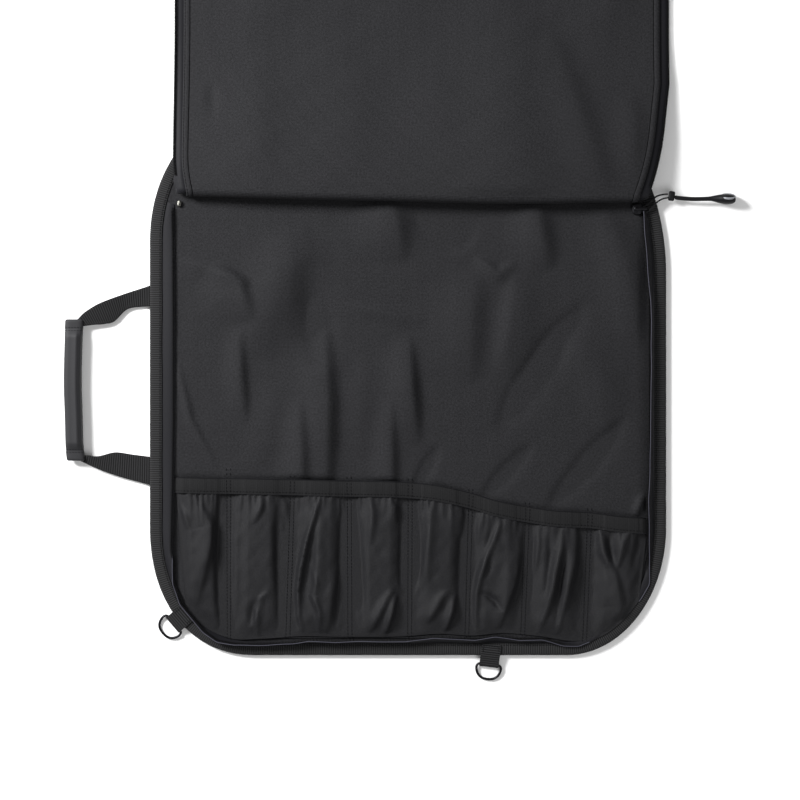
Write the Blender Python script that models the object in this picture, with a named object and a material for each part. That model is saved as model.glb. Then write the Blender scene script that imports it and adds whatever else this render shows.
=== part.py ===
"""A chef's knife case lying open on a table, in metres with +Z up.

The back panel lies flat, its handle to the left (-X) and its pockets nearest the cook (-Y). The front panel is
unzipped on three sides. Its last strip is still sewn to the back along the far edge (+Y), and the rest is folded
back over that edge and lies on the table beyond it. The origin is under the middle of the back panel.
"""

import math

import bpy
import numpy as np

# The back panel and its edge
CASE_WIDTH = 0.490
CASE_LENGTH = 0.510
CLEARANCE = 0.0003
PANEL_THICKNESS = 0.0039
BINDING_WIDTH = 0.0115
BINDING_THICKNESS = 0.0011
LINING_THICKNESS = 0.0008
LINING_INSET = 0.0165

# The zip on the back and on the front
TAPE_THICKNESS = 0.0008
COIL_DIAMETER = 0.0032
BACK_TAPE_HEIGHT = 0.0075
BACK_TAPE_LEAN = 0.0040
BACK_TAPE_BEND = 0.45
BACK_TAPE_CURVE = 1.4
FRONT_TAPE_WIDTH = 0.0086
FRONT_TAPE_INSET = 0.0105

# The front panel and its fold
FRONT_THICKNESS = 0.0022
FACING_WIDTH = 0.0066
SEAM_GROOVE = 0.0018
FOLD_FROM_FAR_EDGE = 0.0808
FOLD_RADIUS = 0.0045
POUCH_HEIGHT = 0.0130
SEAM_STEP = 0.0024
SEAM_STEP_WIDTH = 0.0080
LID_FALL = 0.1640
SIDE_DROP = 0.20
FRONT_COLUMNS = 10
LID_SHIFT = 0.0130
LID_SPREAD = 0.1050
ROW_CLOSENESS = 1.3

# The pockets
POCKET_THICKNESS = 0.0010
POCKET_BULGE = 0.0070
GATHER_MIDDLE = 0.45
GATHER_END = 0.82
HEM_WIDTH = 0.0138
HEM_THICKNESS = 0.0012
HEM_END = 0.0060
SEAM_GAP = 0.0008

# The handle
WEBBING_THICKNESS = 0.0016
GRIP_WIDTH = 0.0165
GRIP_HEIGHT = 0.0140
CORE_WIDTH = 0.0084
CORE_HEIGHT = 0.0044
CORE_CLEARANCE = 0.0008

# The two rings and their tabs
RING_WIDTH = 0.0262
RING_DEPTH = 0.0165
RING_WIRE = 0.0024
RING_FULLNESS = 2.5
TAB_THICKNESS = 0.0011
TAB_LAP = 0.0105

# The slider and its pull
SLIDER_LENGTH = 0.0110
SLIDER_WIDTH = 0.0090
SLIDER_HEIGHT = 0.0054
SLIDER_POST = 0.0040
SLIDER_POST_X = 0.4600
SLIDER_ARM = 0.0012
STOP_LENGTH = 0.0058
STOP_WIDTH = 0.0040
STOP_HEIGHT = 0.0036
CORD_DIAMETER = 0.0015
CORD_STEP = 0.0014
BEAD_LENGTH = 0.0056
BEAD_WIDTH = 0.0096
BEAD_HEIGHT = 0.0052
PULL_DIAMETER = 0.0044
DISC_DIAMETER = 0.0148
DISC_THICKNESS = 0.0056
DISC_ROUNDING = 0.0008
INLAY_DIAMETER = 0.0115
INLAY_THICKNESS = 0.0009

PANEL_EDGE_RISE = BINDING_THICKNESS + CLEARANCE
BINDING_TOP = PANEL_THICKNESS + CLEARANCE + BINDING_THICKNESS
LINING_MIDDLE = PANEL_THICKNESS + CLEARANCE + LINING_THICKNESS / 2
LINING_TOP = LINING_MIDDLE + LINING_THICKNESS / 2
SEWN_EDGE_HEIGHT = BINDING_TOP + CLEARANCE + TAPE_THICKNESS / 2

# Corners of the back, anticlockwise: how much of the width and of the length each one's curve takes,
# and how full the curve is, where 2 is a quarter of an ellipse.
CORNERS = (
    # name, side in X, side in Y, share of width, share of length, fullness
    ("far right", 1, 1, 0.171, 0.292, 2.0),
    ("far left", -1, 1, 0.169, 0.228, 2.0),
    ("near left", -1, -1, 0.204, 0.242, 2.2),
    ("near right", 1, -1, 0.194, 0.238, 2.0),
)
CORNER_STEPS = 8
SIDE_STEPS = 5

# How the zip on the back stands along its way from the left end of the fold, round the near edge, to the right
# end: inset of its free edge from the case's edge and height above its seam.
ZIP_STANDS = (
    # share of the way, inset as a share of the binding's width, height as a share of BACK_TAPE_HEIGHT
    (0.00, 1.85, 0.42),
    (0.12, 1.80, 0.36),
    (0.24, 1.72, 0.42),
    (0.34, 1.45, 0.80),
    (0.46, 1.32, 1.00),
    (0.52, 1.55, 0.95),
    (0.58, 1.30, 1.00),
    (0.66, 1.35, 1.00),
    (0.80, 1.38, 0.95),
    (1.00, 1.38, 0.80),
)
ZIP_STEPS = 64

# The fold's own line: how far each part of it lies nearer the cook than its left end.
FOLD_LINE = (
    # share of the case's width from the left, share of FOLD_FROM_FAR_EDGE
    (0.00, -0.070),
    (0.25, -0.022),
    (0.45, 0.002),
    (0.70, 0.035),
    (0.85, 0.022),
    (1.00, 0.000),
)

# Soft folds in the back's lining: valleys and ridges from one point to another.
LINING_FOLDS = (
    # name, x and y at the start, x and y at the end as shares of width and length, half its width as a share of
    # the case's width, height in thicknesses of the lining
    ("long ridge", -0.245, 0.20, -0.135, 0.03, 0.060, 2.6),
    ("broad ridge", -0.115, 0.17, -0.060, -0.14, 0.075, 2.2),
    ("middle ridge", 0.060, 0.20, 0.060, -0.10, 0.070, 2.4),
    ("slanting ridge", 0.370, 0.12, 0.200, -0.10, 0.080, 2.6),
    ("small ridge", 0.190, 0.27, 0.130, 0.22, 0.060, 1.8),
)
LINING_ROWS = 13
LINING_COLUMNS = 15

# Stitch lines between the pockets, from the left edge to the right.
POCKET_SEAMS = (
    # x at the hem and at the bottom, as shares of the case's width from its middle
    (-0.446, -0.426),
    (-0.347, -0.347),
    (-0.223, -0.231),
    (-0.113, -0.112),
    (0.004, 0.003),
    (0.121, 0.114),
    (0.233, 0.221),
    (0.351, 0.341),
    (0.456, 0.434),
)

# The pockets' upper edge, from left to right.
HEM_LINE = (
    # x as a share of the case's width, y of the hem's upper edge as a share of its length, both from the middle
    (-0.448, -0.1705),
    (-0.122, -0.1766),
    (-0.006, -0.1792),
    (0.062, -0.1862),
    (0.120, -0.1990),
    (0.169, -0.2130),
    (0.217, -0.2222),
    (0.275, -0.2310),
    (0.353, -0.2356),
    (0.411, -0.2425),
    (0.458, -0.2453),
)
HEM_STEPS = 24

# The pockets' lower edge follows the case: the least y at each x.
POCKET_FLOOR = (
    # x as a share of the case's width, y as a share of its length, both from the middle
    (-0.446, -0.360),
    (-0.405, -0.410),
    (-0.340, -0.456),
    (0.350, -0.456),
    (0.410, -0.412),
    (0.456, -0.366),
)
POCKET_ROWS = 5
POCKET_COLUMNS = 8

# Gathers across one pocket, from its left seam to its right one, under the hem and above the floor.
GATHERS = (
    # share of the pocket's width, height under the hem, at the middle and above the floor, as shares of the bulge
    (0.000, 0.00, 0.00, 0.00),
    (0.125, 0.66, 0.46, 0.20),
    (0.250, 0.80, 0.80, 0.42),
    (0.375, 0.76, 0.98, 0.30),
    (0.500, 0.84, 0.92, 0.62),
    (0.625, 0.76, 1.00, 0.34),
    (0.750, 0.80, 0.78, 0.46),
    (0.875, 0.64, 0.40, 0.18),
    (1.000, 0.00, 0.00, 0.00),
)

# The handle's webbing, from its upper end at the case down to the grip.
WEBBING_UPPER = (
    # x and y of the upper edge, x and y of the lower edge, from the case's left edge and its middle as shares of
    # its length, then the height of each edge as a share of the grip's
    (-0.0006, 0.1866, -0.0006, 0.1487, 0.20, 0.20),
    (-0.0410, 0.1732, -0.0398, 0.1440, 0.42, 0.22),
    (-0.0745, 0.1611, -0.0652, 0.1211, 0.58, 0.26),
    (-0.0969, 0.1518, -0.0838, 0.1159, 0.62, 0.38),
    (-0.1165, 0.1440, -0.1010, 0.1215, 0.62, 0.45),
)
# The same from the grip's lower end back to the case.
WEBBING_LOWER = (
    (-0.1140, -0.1560, -0.1060, -0.1360, 0.56, 0.42),
    (-0.0961, -0.1600, -0.0930, -0.1310, 0.44, 0.34),
    (-0.0690, -0.1690, -0.0637, -0.1225, 0.32, 0.26),
    (-0.0360, -0.1760, -0.0360, -0.1260, 0.24, 0.22),
    (-0.0006, -0.1820, -0.0006, -0.1304, 0.20, 0.20),
)
# The grip's middle line.
GRIP_LINE = (
    # y from the case's middle, x from its left edge, as shares of its length
    (0.1235, -0.1347),
    (0.0680, -0.1381),
    (0.0046, -0.1397),
    (-0.0620, -0.1371),
    (-0.1330, -0.1358),
)
GRIP_STEPS = 8
GRIP_ROUNDING = 0.82

# The rings' places on the case's edge.
RINGS = (
    # name, way out from the case in degrees, tab's width and its reach past the case's edge
    ("corner_ring", -139.5, 0.0186, 0.0078),
    ("edge_ring", -96.5, 0.0182, 0.0114),
)
EDGE_RING_X = 0.159

# The slider, its pull and the zip's stop, on the plan
SLIDER_X = 0.4425
SLIDER_FROM_FOLD = 0.0063
STOP_X = -0.4420
STOP_FROM_FOLD = 0.0010
PULL_LINE = (
    # x as a share of the case's width and y as a share of its length, both from the middle, height, and
    # thickness as a share of PULL_DIAMETER
    ("bead", 0.5090, 0.3533, 0.0078, 0.0),
    ("sleeve start", 0.5150, 0.3510, 0.0076, 0.95),
    ("sleeve middle", 0.5520, 0.3478, 0.0074, 1.0),
    ("sleeve end", 0.5880, 0.3486, 0.0078, 1.0),
    ("disc", 0.6180, 0.3475, 0.0081, 1.25),
)
DISC_TILT = 65.0
BEAD_TURN = -8.0
# The pull's cord, from the bead through the slider's eye and back.
CORD_ROUTE = (
    # x as a share of the case's width and y as a share of its length, both from the middle, and height
    (0.5018, 0.3568, 0.0080),
    (0.4930, 0.3563, 0.0081),
    (0.4820, 0.3535, 0.0081),
    (0.4725, 0.3476, 0.0082),
    (0.4645, 0.3400, 0.0082),
    (0.4555, 0.3334, 0.0082),
    (0.4538, 0.3292, 0.0082),
    (0.4555, 0.3250, 0.0082),
    (0.4600, 0.3232, 0.0082),
    (0.4644, 0.3250, 0.0082),
    (0.4725, 0.3330, 0.0082),
    (0.4816, 0.3424, 0.0081),
    (0.4918, 0.3482, 0.0080),
    (0.5010, 0.3500, 0.0079),
)


def smooth(value):
    """0 below 0, 1 above 1, and an even ease between."""
    value = np.clip(value, 0.0, 1.0)
    return value * value * (3.0 - 2.0 * value)


def table_curve(table, column=1):
    """A smooth curve through a table's rows, as a function of its first column."""
    xs = np.array([row[0] for row in table], float)
    ys = np.array([row[column] for row in table], float)
    slopes = np.gradient(ys, xs)

    def curve(x):
        x = np.clip(x, xs[0], xs[-1])
        i = np.clip(np.searchsorted(xs, x, side="right") - 1, 0, len(xs) - 2)
        width = xs[i + 1] - xs[i]
        t = (x - xs[i]) / width
        rise = smooth(t)
        return (
            ys[i] * (1.0 - rise)
            + ys[i + 1] * rise
            + slopes[i] * width * t * (1.0 - t) ** 2
            - slopes[i + 1] * width * t * t * (1.0 - t)
        )

    return curve


def case_outline(corner_steps=CORNER_STEPS, side_steps=SIDE_STEPS):
    """The case's outline, anticlockwise from its right side, and the way out at each point."""
    points = []
    for number, (_, side_x, side_y, share_x, share_y, fullness) in enumerate(CORNERS):
        radius_x = share_x * CASE_WIDTH
        radius_y = share_y * CASE_LENGTH
        centre_x = side_x * (CASE_WIDTH / 2 - radius_x)
        centre_y = side_y * (CASE_LENGTH / 2 - radius_y)
        angles = np.linspace(0.0, math.pi / 2, corner_steps + 1)
        if number % 2:
            angles = angles[::-1]
        arc = np.stack(
            [
                centre_x + side_x * radius_x * np.abs(np.cos(angles)) ** (2 / fullness),
                centre_y + side_y * radius_y * np.abs(np.sin(angles)) ** (2 / fullness),
            ],
            axis=1,
        )
        if points:
            last = points[-1]
            for step in range(1, side_steps):
                points.append(last + (arc[0] - last) * step / side_steps)
        points.extend(arc)
    last = points[-1]
    for step in range(1, side_steps):
        points.append(last + (points[0] - last) * step / side_steps)
    points = np.array(points)
    along = np.roll(points, -1, axis=0) - np.roll(points, 1, axis=0)
    along /= np.linalg.norm(along, axis=1)[:, None]
    outward = np.stack([along[:, 1], -along[:, 0]], axis=1)
    return points, outward


def zip_way(steps=ZIP_STEPS):
    """Points on the case's outline from the fold's left end round the near edge to its right end."""
    points, outward = case_outline(4 * CORNER_STEPS, 4 * SIDE_STEPS)
    fold_y = CASE_LENGTH / 2 - FOLD_FROM_FAR_EDGE
    room = np.where(
        points[:, 0] > 0,
        SLIDER_FROM_FOLD + SLIDER_LENGTH / 2,
        STOP_FROM_FOLD + STOP_LENGTH / 2,
    )
    inside = points[:, 1] < fold_y - room - COIL_DIAMETER / 2
    start = next(i for i in range(len(points)) if points[i, 0] < 0 and inside[i])
    order = np.arange(start, start + len(points)) % len(points)
    points, outward = points[order], outward[order]
    used = np.nonzero(inside[order])[0]
    points, outward = points[used], outward[used]
    length = np.concatenate([[0.0], np.cumsum(np.linalg.norm(np.diff(points, axis=0), axis=1))])
    wanted = np.linspace(0.0, length[-1], steps + 1)
    even = np.stack([np.interp(wanted, length, points[:, i]) for i in range(2)], axis=1)
    out = np.stack([np.interp(wanted, length, outward[:, i]) for i in range(2)], axis=1)
    out /= np.linalg.norm(out, axis=1)[:, None]
    return even, out, wanted / length[-1]


def fold_nearness(x):
    """How far nearer the cook the fold lies at this x than at its ends."""
    curve = table_curve(FOLD_LINE)
    return curve(x / CASE_WIDTH + 0.5) * FOLD_FROM_FAR_EDGE


def lid_height(past_fold):
    """Height of the lid's middle surface at a distance past the fold."""
    top = POUCH_HEIGHT + 2 * FOLD_RADIUS
    rest = FRONT_THICKNESS / 2
    return rest + (top - rest) * (1.0 - smooth(past_fold / LID_FALL))


def folded(x, y, lift=0.0):
    """Where a point of the front panel's flat pattern lies once folded, lifted off its inner face."""
    x = np.asarray(x, float)
    y = np.asarray(y, float)
    flat_run = strip_run() + fold_nearness(x)
    half_turn = math.pi * FOLD_RADIUS
    from_far_edge = CASE_LENGTH / 2 - y
    inwards = np.clip((CASE_WIDTH / 2 - np.abs(x)) / (SIDE_DROP * CASE_WIDTH), 0.0, 1.0)
    sides = 1.0 - smooth(inwards)

    def middle(distance):
        past = distance - flat_run
        turn = np.clip(past / FOLD_RADIUS, 0.0, math.pi)
        rising = smooth(distance / flat_run)
        from_edge = np.minimum(distance, CASE_WIDTH / 2 - np.abs(x))
        step = SEAM_STEP * smooth((from_edge - FRONT_TAPE_INSET) / SEAM_STEP_WIDTH)
        crown = POUCH_HEIGHT - SEWN_EDGE_HEIGHT - SEAM_STEP
        low = SEWN_EDGE_HEIGHT + step + crown * rising * (1.0 - sides)
        beyond = np.maximum(past - half_turn, 0.0)
        at_lid = smooth(beyond / LID_FALL)
        strip_y = CASE_LENGTH / 2 - np.minimum(distance, flat_run)
        place_y = strip_y - FOLD_RADIUS * np.sin(turn) + beyond
        strip_z = low + FOLD_RADIUS * (1.0 - np.cos(turn))
        lid_z = lid_height(beyond) - (POUCH_HEIGHT - low) * (1.0 - at_lid)
        return place_y, np.where(beyond > 0, lid_z, strip_z)

    nudge = 0.0004
    ahead_y, ahead_z = middle(from_far_edge + nudge)
    behind_y, behind_z = middle(from_far_edge - nudge)
    along_y, along_z = ahead_y - behind_y, ahead_z - behind_z
    length = np.hypot(along_y, along_z)
    place_y, place_z = middle(from_far_edge)
    place_y = place_y - lift * along_z / length
    place_z = place_z + lift * along_y / length

    past_turn = from_far_edge - flat_run - half_turn
    turned = smooth((from_far_edge - flat_run + half_turn) / (2 * half_turn))
    share = x / CASE_WIDTH + 0.5
    right_shift = LID_SHIFT * np.clip(past_turn / LID_SPREAD, 0.0, 1.0)
    shift = turned * (LID_SHIFT * (1.0 - share) + right_shift * share)
    return np.stack(np.broadcast_arrays(x + shift, place_y, place_z), axis=-1)


def material(name, colour, roughness, metallic=0.0):
    made = bpy.data.materials.get(name)
    if made:
        return made
    made = bpy.data.materials.new(name)
    made.use_nodes = True
    shader = made.node_tree.nodes["Principled BSDF"]
    shader.inputs["Base Color"].default_value = (*colour, 1.0)
    shader.inputs["Roughness"].default_value = roughness
    shader.inputs["Metallic"].default_value = metallic
    return made


def black_cloth():
    return material("black nylon cloth", (0.022, 0.022, 0.025), 0.85)


def black_ribbon():
    return material("black ribbed tape", (0.014, 0.014, 0.016), 0.75)


def black_plastic():
    return material("black moulded plastic", (0.010, 0.010, 0.011), 0.45)


def dark_metal():
    return material("dark plated steel", (0.12, 0.12, 0.13), 0.28, 1.0)


def pale_plastic():
    return material("pale grey plastic", (0.55, 0.56, 0.57), 0.4)


def placed(name, points, faces, finish):
    """A new object from a list of points and faces."""
    mesh = bpy.data.meshes.new(name)
    mesh.from_pydata([tuple(map(float, point)) for point in points], [], faces)
    mesh.validate()
    obj = bpy.data.objects.new(name, mesh)
    bpy.context.scene.collection.objects.link(obj)
    mesh.materials.append(finish)
    mesh.shade_smooth()
    mesh.set_sharp_from_angle(angle=math.radians(40))
    return obj


def grid_faces(rows, columns, closed_rows=False, closed_columns=False):
    """Quads of a grid whose points run row by row."""
    faces = []
    for row in range(rows if closed_rows else rows - 1):
        for column in range(columns if closed_columns else columns - 1):
            after = (row + 1) % rows
            beside = (column + 1) % columns
            faces.append(
                (
                    row * columns + column,
                    row * columns + beside,
                    after * columns + beside,
                    after * columns + column,
                )
            )
    return faces


def sheet(name, grid, thickness, finish):
    """A cloth wall about a grid of points, half its thickness to each side."""
    rows, columns = grid.shape[:2]
    obj = placed(name, grid.reshape(-1, 3), grid_faces(rows, columns), finish)
    wall = obj.modifiers.new("wall", "SOLIDIFY")
    wall.thickness = thickness
    wall.offset = 0.0
    return obj


def lofted(name, rings, finish, closed=False):
    """A solid through rings of points. It is capped at both ends, or closed into a loop."""
    rings = np.asarray(rings)
    rows, columns = rings.shape[:2]
    faces = grid_faces(rows, columns, closed_rows=closed, closed_columns=True)
    if not closed:
        faces.append(tuple(range(columns))[::-1])
        faces.append(tuple((rows - 1) * columns + i for i in range(columns)))
    obj = placed(name, rings.reshape(-1, 3), faces, finish)
    outward_facing(obj.data)
    return obj


def outward_facing(mesh):
    """Turns a closed mesh's faces out if they point in."""
    mesh.calc_loop_triangles()
    corners = [[mesh.vertices[i].co for i in face.vertices] for face in mesh.loop_triangles]
    volume = sum(a.dot(b.cross(c)) for a, b, c in corners)
    if volume < 0:
        mesh.flip_normals()


def tube(name, points, diameter, finish, sides=1, closed=False):
    """A round tube along a line of points."""
    curve = bpy.data.curves.new(name, "CURVE")
    curve.dimensions = "3D"
    spline = curve.splines.new("POLY")
    spline.points.add(len(points) - 1)
    for target, point in zip(spline.points, points):
        target.co = (*map(float, point), 1.0)
    spline.use_cyclic_u = closed
    spline.use_smooth = True
    curve.bevel_depth = diameter / 2
    curve.bevel_resolution = sides
    curve.use_fill_caps = not closed
    curve.materials.append(finish)
    obj = bpy.data.objects.new(name, curve)
    bpy.context.scene.collection.objects.link(obj)
    return obj


def make_back_panel():
    points, outward = case_outline()
    sections = (
        # inset from the case's edge, height
        (BINDING_WIDTH + PANEL_EDGE_RISE, 0.0),
        (BINDING_WIDTH + CLEARANCE, PANEL_EDGE_RISE),
        (BINDING_THICKNESS + CLEARANCE, PANEL_EDGE_RISE),
        (BINDING_THICKNESS + CLEARANCE, PANEL_THICKNESS),
    )
    rings = [with_height(points - outward * inset, height) for inset, height in sections]
    return lofted("back_panel", rings, black_cloth())


def with_height(points, height):
    return np.column_stack([points, np.broadcast_to(height, len(points))])


def make_back_binding():
    """A tape folded round the panel's edge, with the panel in its slot."""
    points, outward = case_outline()
    bevel = BINDING_THICKNESS / 2
    sections = (
        # inset from the case's edge, height
        (bevel, 0.0),
        (0.0, bevel),
        (0.0, BINDING_TOP - bevel),
        (bevel, BINDING_TOP),
        (BINDING_WIDTH, BINDING_TOP),
        (BINDING_WIDTH, BINDING_TOP - BINDING_THICKNESS),
        (BINDING_THICKNESS, BINDING_TOP - BINDING_THICKNESS),
        (BINDING_THICKNESS, BINDING_THICKNESS),
        (BINDING_WIDTH, BINDING_THICKNESS),
        (BINDING_WIDTH, 0.0),
    )
    rings = [
        [(*(point - out * inset), height) for inset, height in sections]
        for point, out in zip(points, outward)
    ]
    return lofted("back_binding", rings, black_ribbon(), closed=True)


def lining_relief(x, y):
    """Height of the lining's soft folds."""
    height = np.zeros(np.broadcast(x, y).shape)
    for _, x0, y0, x1, y1, half_width, folds in LINING_FOLDS:
        start = np.array([x0 * CASE_WIDTH, y0 * CASE_LENGTH])
        run = np.array([x1 * CASE_WIDTH, y1 * CASE_LENGTH]) - start
        along = ((x - start[0]) * run[0] + (y - start[1]) * run[1]) / (run @ run)
        along = np.clip(along, 0.0, 1.0)
        off = np.hypot(x - start[0] - along * run[0], y - start[1] - along * run[1])
        height = np.maximum(
            height, folds * LINING_THICKNESS * (1.0 - smooth(off / (half_width * CASE_WIDTH)))
        )
    return height


def sides_at(y, inset):
    """The case's left and right edges at this y, moved in by inset."""
    points, outward = case_outline(4 * CORNER_STEPS, SIDE_STEPS)
    points = points - outward * inset
    found = []
    for side in (-1, 1):
        chosen = points[points[:, 0] * side > 0]
        level = np.round(chosen[:, 1], 6)
        order = np.lexsort((side * chosen[:, 0], level))
        level = level[order]
        outermost = np.append(level[1:] != level[:-1], True)
        found.append(np.interp(y, level[outermost], chosen[order, 0][outermost]))
    return found


def rows_to_edge(rows, inset):
    """Values of y from the near edge to the far one, closer where the corners curve."""
    half = CASE_LENGTH / 2 - inset
    return -half * np.cos(np.linspace(0.0, math.pi, rows + 1))


def make_back_lining():
    grid = []
    hem = table_curve(HEM_LINE)
    for y in rows_to_edge(LINING_ROWS, LINING_INSET):
        left, right = sides_at(y, LINING_INSET)
        x = np.linspace(left, right, LINING_COLUMNS + 1)
        above_hem = y - hem(x / CASE_WIDTH) * CASE_LENGTH
        relief = lining_relief(x, y) * smooth(above_hem / (2 * LINING_INSET))
        grid.append(np.column_stack([x, np.full_like(x, y), LINING_MIDDLE + relief]))
    return sheet("back_lining", np.array(grid), LINING_THICKNESS, black_cloth())


def zip_stand(share):
    """Inset and height of the free edge of the back's zip, at a share of its way."""
    inset = table_curve(ZIP_STANDS, 1)(share) * BINDING_WIDTH
    height = table_curve(ZIP_STANDS, 2)(share) * BACK_TAPE_HEIGHT
    return inset, height


def make_back_zip():
    points, outward, share = zip_way()
    inset, height = zip_stand(share)
    seam_inset = BINDING_WIDTH + 2 * CLEARANCE + TAPE_THICKNESS
    seam_height = PANEL_THICKNESS + CLEARANCE + TAPE_THICKNESS
    columns = []
    for across in (0.0, BACK_TAPE_BEND, 1.0):
        reach = seam_inset + (inset - seam_inset) * across
        rise = seam_height + height * across ** BACK_TAPE_CURVE + BACK_TAPE_LEAN * across * (1.0 - across)
        columns.append(with_height(points - outward * reach[:, None], rise))
    sheet("back_zip_tape", np.stack(columns, axis=1), TAPE_THICKNESS, black_cloth())
    coil_gap = COIL_DIAMETER / 2 + TAPE_THICKNESS / 2 + CLEARANCE
    flat = np.clip((inset / BINDING_WIDTH - 1.4) / 0.5, 0.0, 1.0)
    coil_inset = inset + flat * coil_gap
    coil_height = seam_height + height + (1.0 - flat) * coil_gap + flat * CLEARANCE
    tube(
        "back_zip_coil",
        with_height(points - outward * coil_inset[:, None], coil_height),
        COIL_DIAMETER,
        black_plastic(),
    )


def strip_run():
    """Length of the flat strip between the far edge and the start of the fold's turn."""
    return FOLD_FROM_FAR_EDGE - FOLD_RADIUS - FRONT_THICKNESS - LINING_THICKNESS


def front_distances(inset=0.0):
    """How far from the case's far edge each row of the front's flat pattern lies."""
    strip = strip_run()
    turn = math.pi * FOLD_RADIUS
    before = inset + (strip - inset) * np.linspace(0.0, 1.0, 7) ** ROW_CLOSENESS
    around = strip + turn * np.linspace(0.0, 1.0, 7)[1:]
    falling = strip + turn + LID_FALL * np.linspace(0.0, 1.0, 8)[1:]
    corner = max(share for _, _, side_y, _, share, _ in CORNERS if side_y < 0) * CASE_LENGTH
    curve = np.sin(np.linspace(0.0, math.pi / 2, 7))
    ending = CASE_LENGTH - inset - (corner - inset) * (1.0 - curve)
    between = [(strip + turn + LID_FALL + ending[0]) / 2]
    return np.concatenate([before, around, falling, between, ending])


def row_y(distance, x):
    """The row's place on the flat pattern: near the fold it follows the fold's own line."""
    before = smooth(distance / strip_run())
    past = distance - strip_run() - math.pi * FOLD_RADIUS
    follow = before * (1.0 - smooth(past / LID_FALL))
    return CASE_LENGTH / 2 - distance - fold_nearness(x) * follow


def row_ends(distance, inset):
    """Both ends of a row of the front's flat pattern, on its inset outline."""
    half = CASE_LENGTH / 2 - inset
    ends = []
    for side, x in enumerate(sides_at(CASE_LENGTH / 2 - distance, inset)):
        y = np.clip(row_y(distance, x), -half, half)
        ends.append((sides_at(y, inset)[side], y))
    return ends


def front_grid(inset, lift):
    """The front panel's inner face, inset from the case's outline, folded and lifted."""
    half = CASE_LENGTH / 2 - inset
    grid = []
    for distance in front_distances(inset):
        (left, _), (right, _) = row_ends(distance, inset)
        x = np.linspace(left, right, FRONT_COLUMNS + 1)
        y = np.clip(row_y(distance, x), -half, half)
        grid.append(folded(x, y, lift))
    return np.array(grid)


def front_edge(inset):
    """The front panel's outline on the flat pattern as a closed line, with its rows where it folds."""
    points, outward = case_outline()
    distances = front_distances()
    rows = distances[(distances > 0.55 * strip_run()) & (distances < strip_run() + LID_FALL)]
    deepest = points - outward * (FRONT_TAPE_INSET + FRONT_TAPE_WIDTH + FACING_WIDTH)
    room = 0.01 * CASE_LENGTH
    above = deepest[:, 1] > CASE_LENGTH / 2 - rows[0] + room
    below = deepest[:, 1] < CASE_LENGTH / 2 - rows[-1] - room
    points = points - outward * inset
    ends = [row_ends(distance, inset) for distance in rows]
    left = [end[0] for end in ends]
    right = [end[1] for end in ends]
    return np.array([*points[above], *left, *points[below], *right[::-1]])


def front_band(name, inner_inset, outer_inset, lift, thickness, finish):
    """A band along the front panel's edge, folded with it."""
    outer, inner = front_edge(outer_inset), front_edge(inner_inset)
    corners = (
        folded(outer[:, 0], outer[:, 1], lift),
        folded(outer[:, 0], outer[:, 1], lift + thickness),
        folded(inner[:, 0], inner[:, 1], lift + thickness),
        folded(inner[:, 0], inner[:, 1], lift),
    )
    return lofted(name, np.stack(corners, axis=1), finish, closed=True)


def make_front():
    panel_inset = FRONT_TAPE_INSET + FRONT_TAPE_WIDTH
    facing_inset = panel_inset + FACING_WIDTH
    face = FRONT_THICKNESS / 2 + CLEARANCE
    sheet("front_panel", front_grid(panel_inset, 0.0), FRONT_THICKNESS, black_cloth())
    sheet(
        "front_lining",
        front_grid(facing_inset + 2 * CLEARANCE, face + CLEARANCE + LINING_THICKNESS / 2),
        LINING_THICKNESS,
        black_cloth(),
    )
    front_band(
        "front_facing",
        facing_inset - SEAM_GROOVE,
        panel_inset + CLEARANCE,
        face + CLEARANCE,
        LINING_THICKNESS,
        black_ribbon(),
    )
    front_band(
        "front_zip_tape",
        panel_inset - SEAM_GROOVE,
        FRONT_TAPE_INSET,
        -TAPE_THICKNESS / 2,
        TAPE_THICKNESS,
        black_cloth(),
    )
    coil = front_edge(FRONT_TAPE_INSET + COIL_DIAMETER / 2)
    lift = TAPE_THICKNESS / 2 + CLEARANCE + COIL_DIAMETER / 2
    start = strip_run() + math.pi * FOLD_RADIUS
    free = coil[:, 1] < CASE_LENGTH / 2 - start - 2 * COIL_DIAMETER
    line = [folded(x, y, lift) for x, y in coil[free]]
    tube("front_zip_coil", line, COIL_DIAMETER, black_plastic())


def pocket_point(left, right, across, down):
    """A point of the pockets' face between two seams, across and down as shares of one pocket."""
    x_top = left[0] + (right[0] - left[0]) * across
    x_low = left[1] + (right[1] - left[1]) * across
    top = table_curve(HEM_LINE)(x_top) * CASE_LENGTH - HEM_WIDTH / 2
    floor = np.interp(x_low, [row[0] for row in POCKET_FLOOR], [row[1] for row in POCKET_FLOOR])
    y = top + (floor * CASE_LENGTH - top) * down
    x = (x_top + (x_low - x_top) * down) * CASE_WIDTH
    levels = [table_curve(GATHERS, column)(across) for column in (1, 2, 3)]
    if down < GATHER_MIDDLE:
        share = levels[0] + (levels[1] - levels[0]) * smooth(down / GATHER_MIDDLE)
    else:
        below = (down - GATHER_MIDDLE) / (1.0 - GATHER_MIDDLE)
        share = levels[1] + (levels[2] - levels[1]) * smooth(below)
    share = share * (1.0 - smooth((down - GATHER_END) / (1.0 - GATHER_END)))
    return x, y, share


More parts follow.
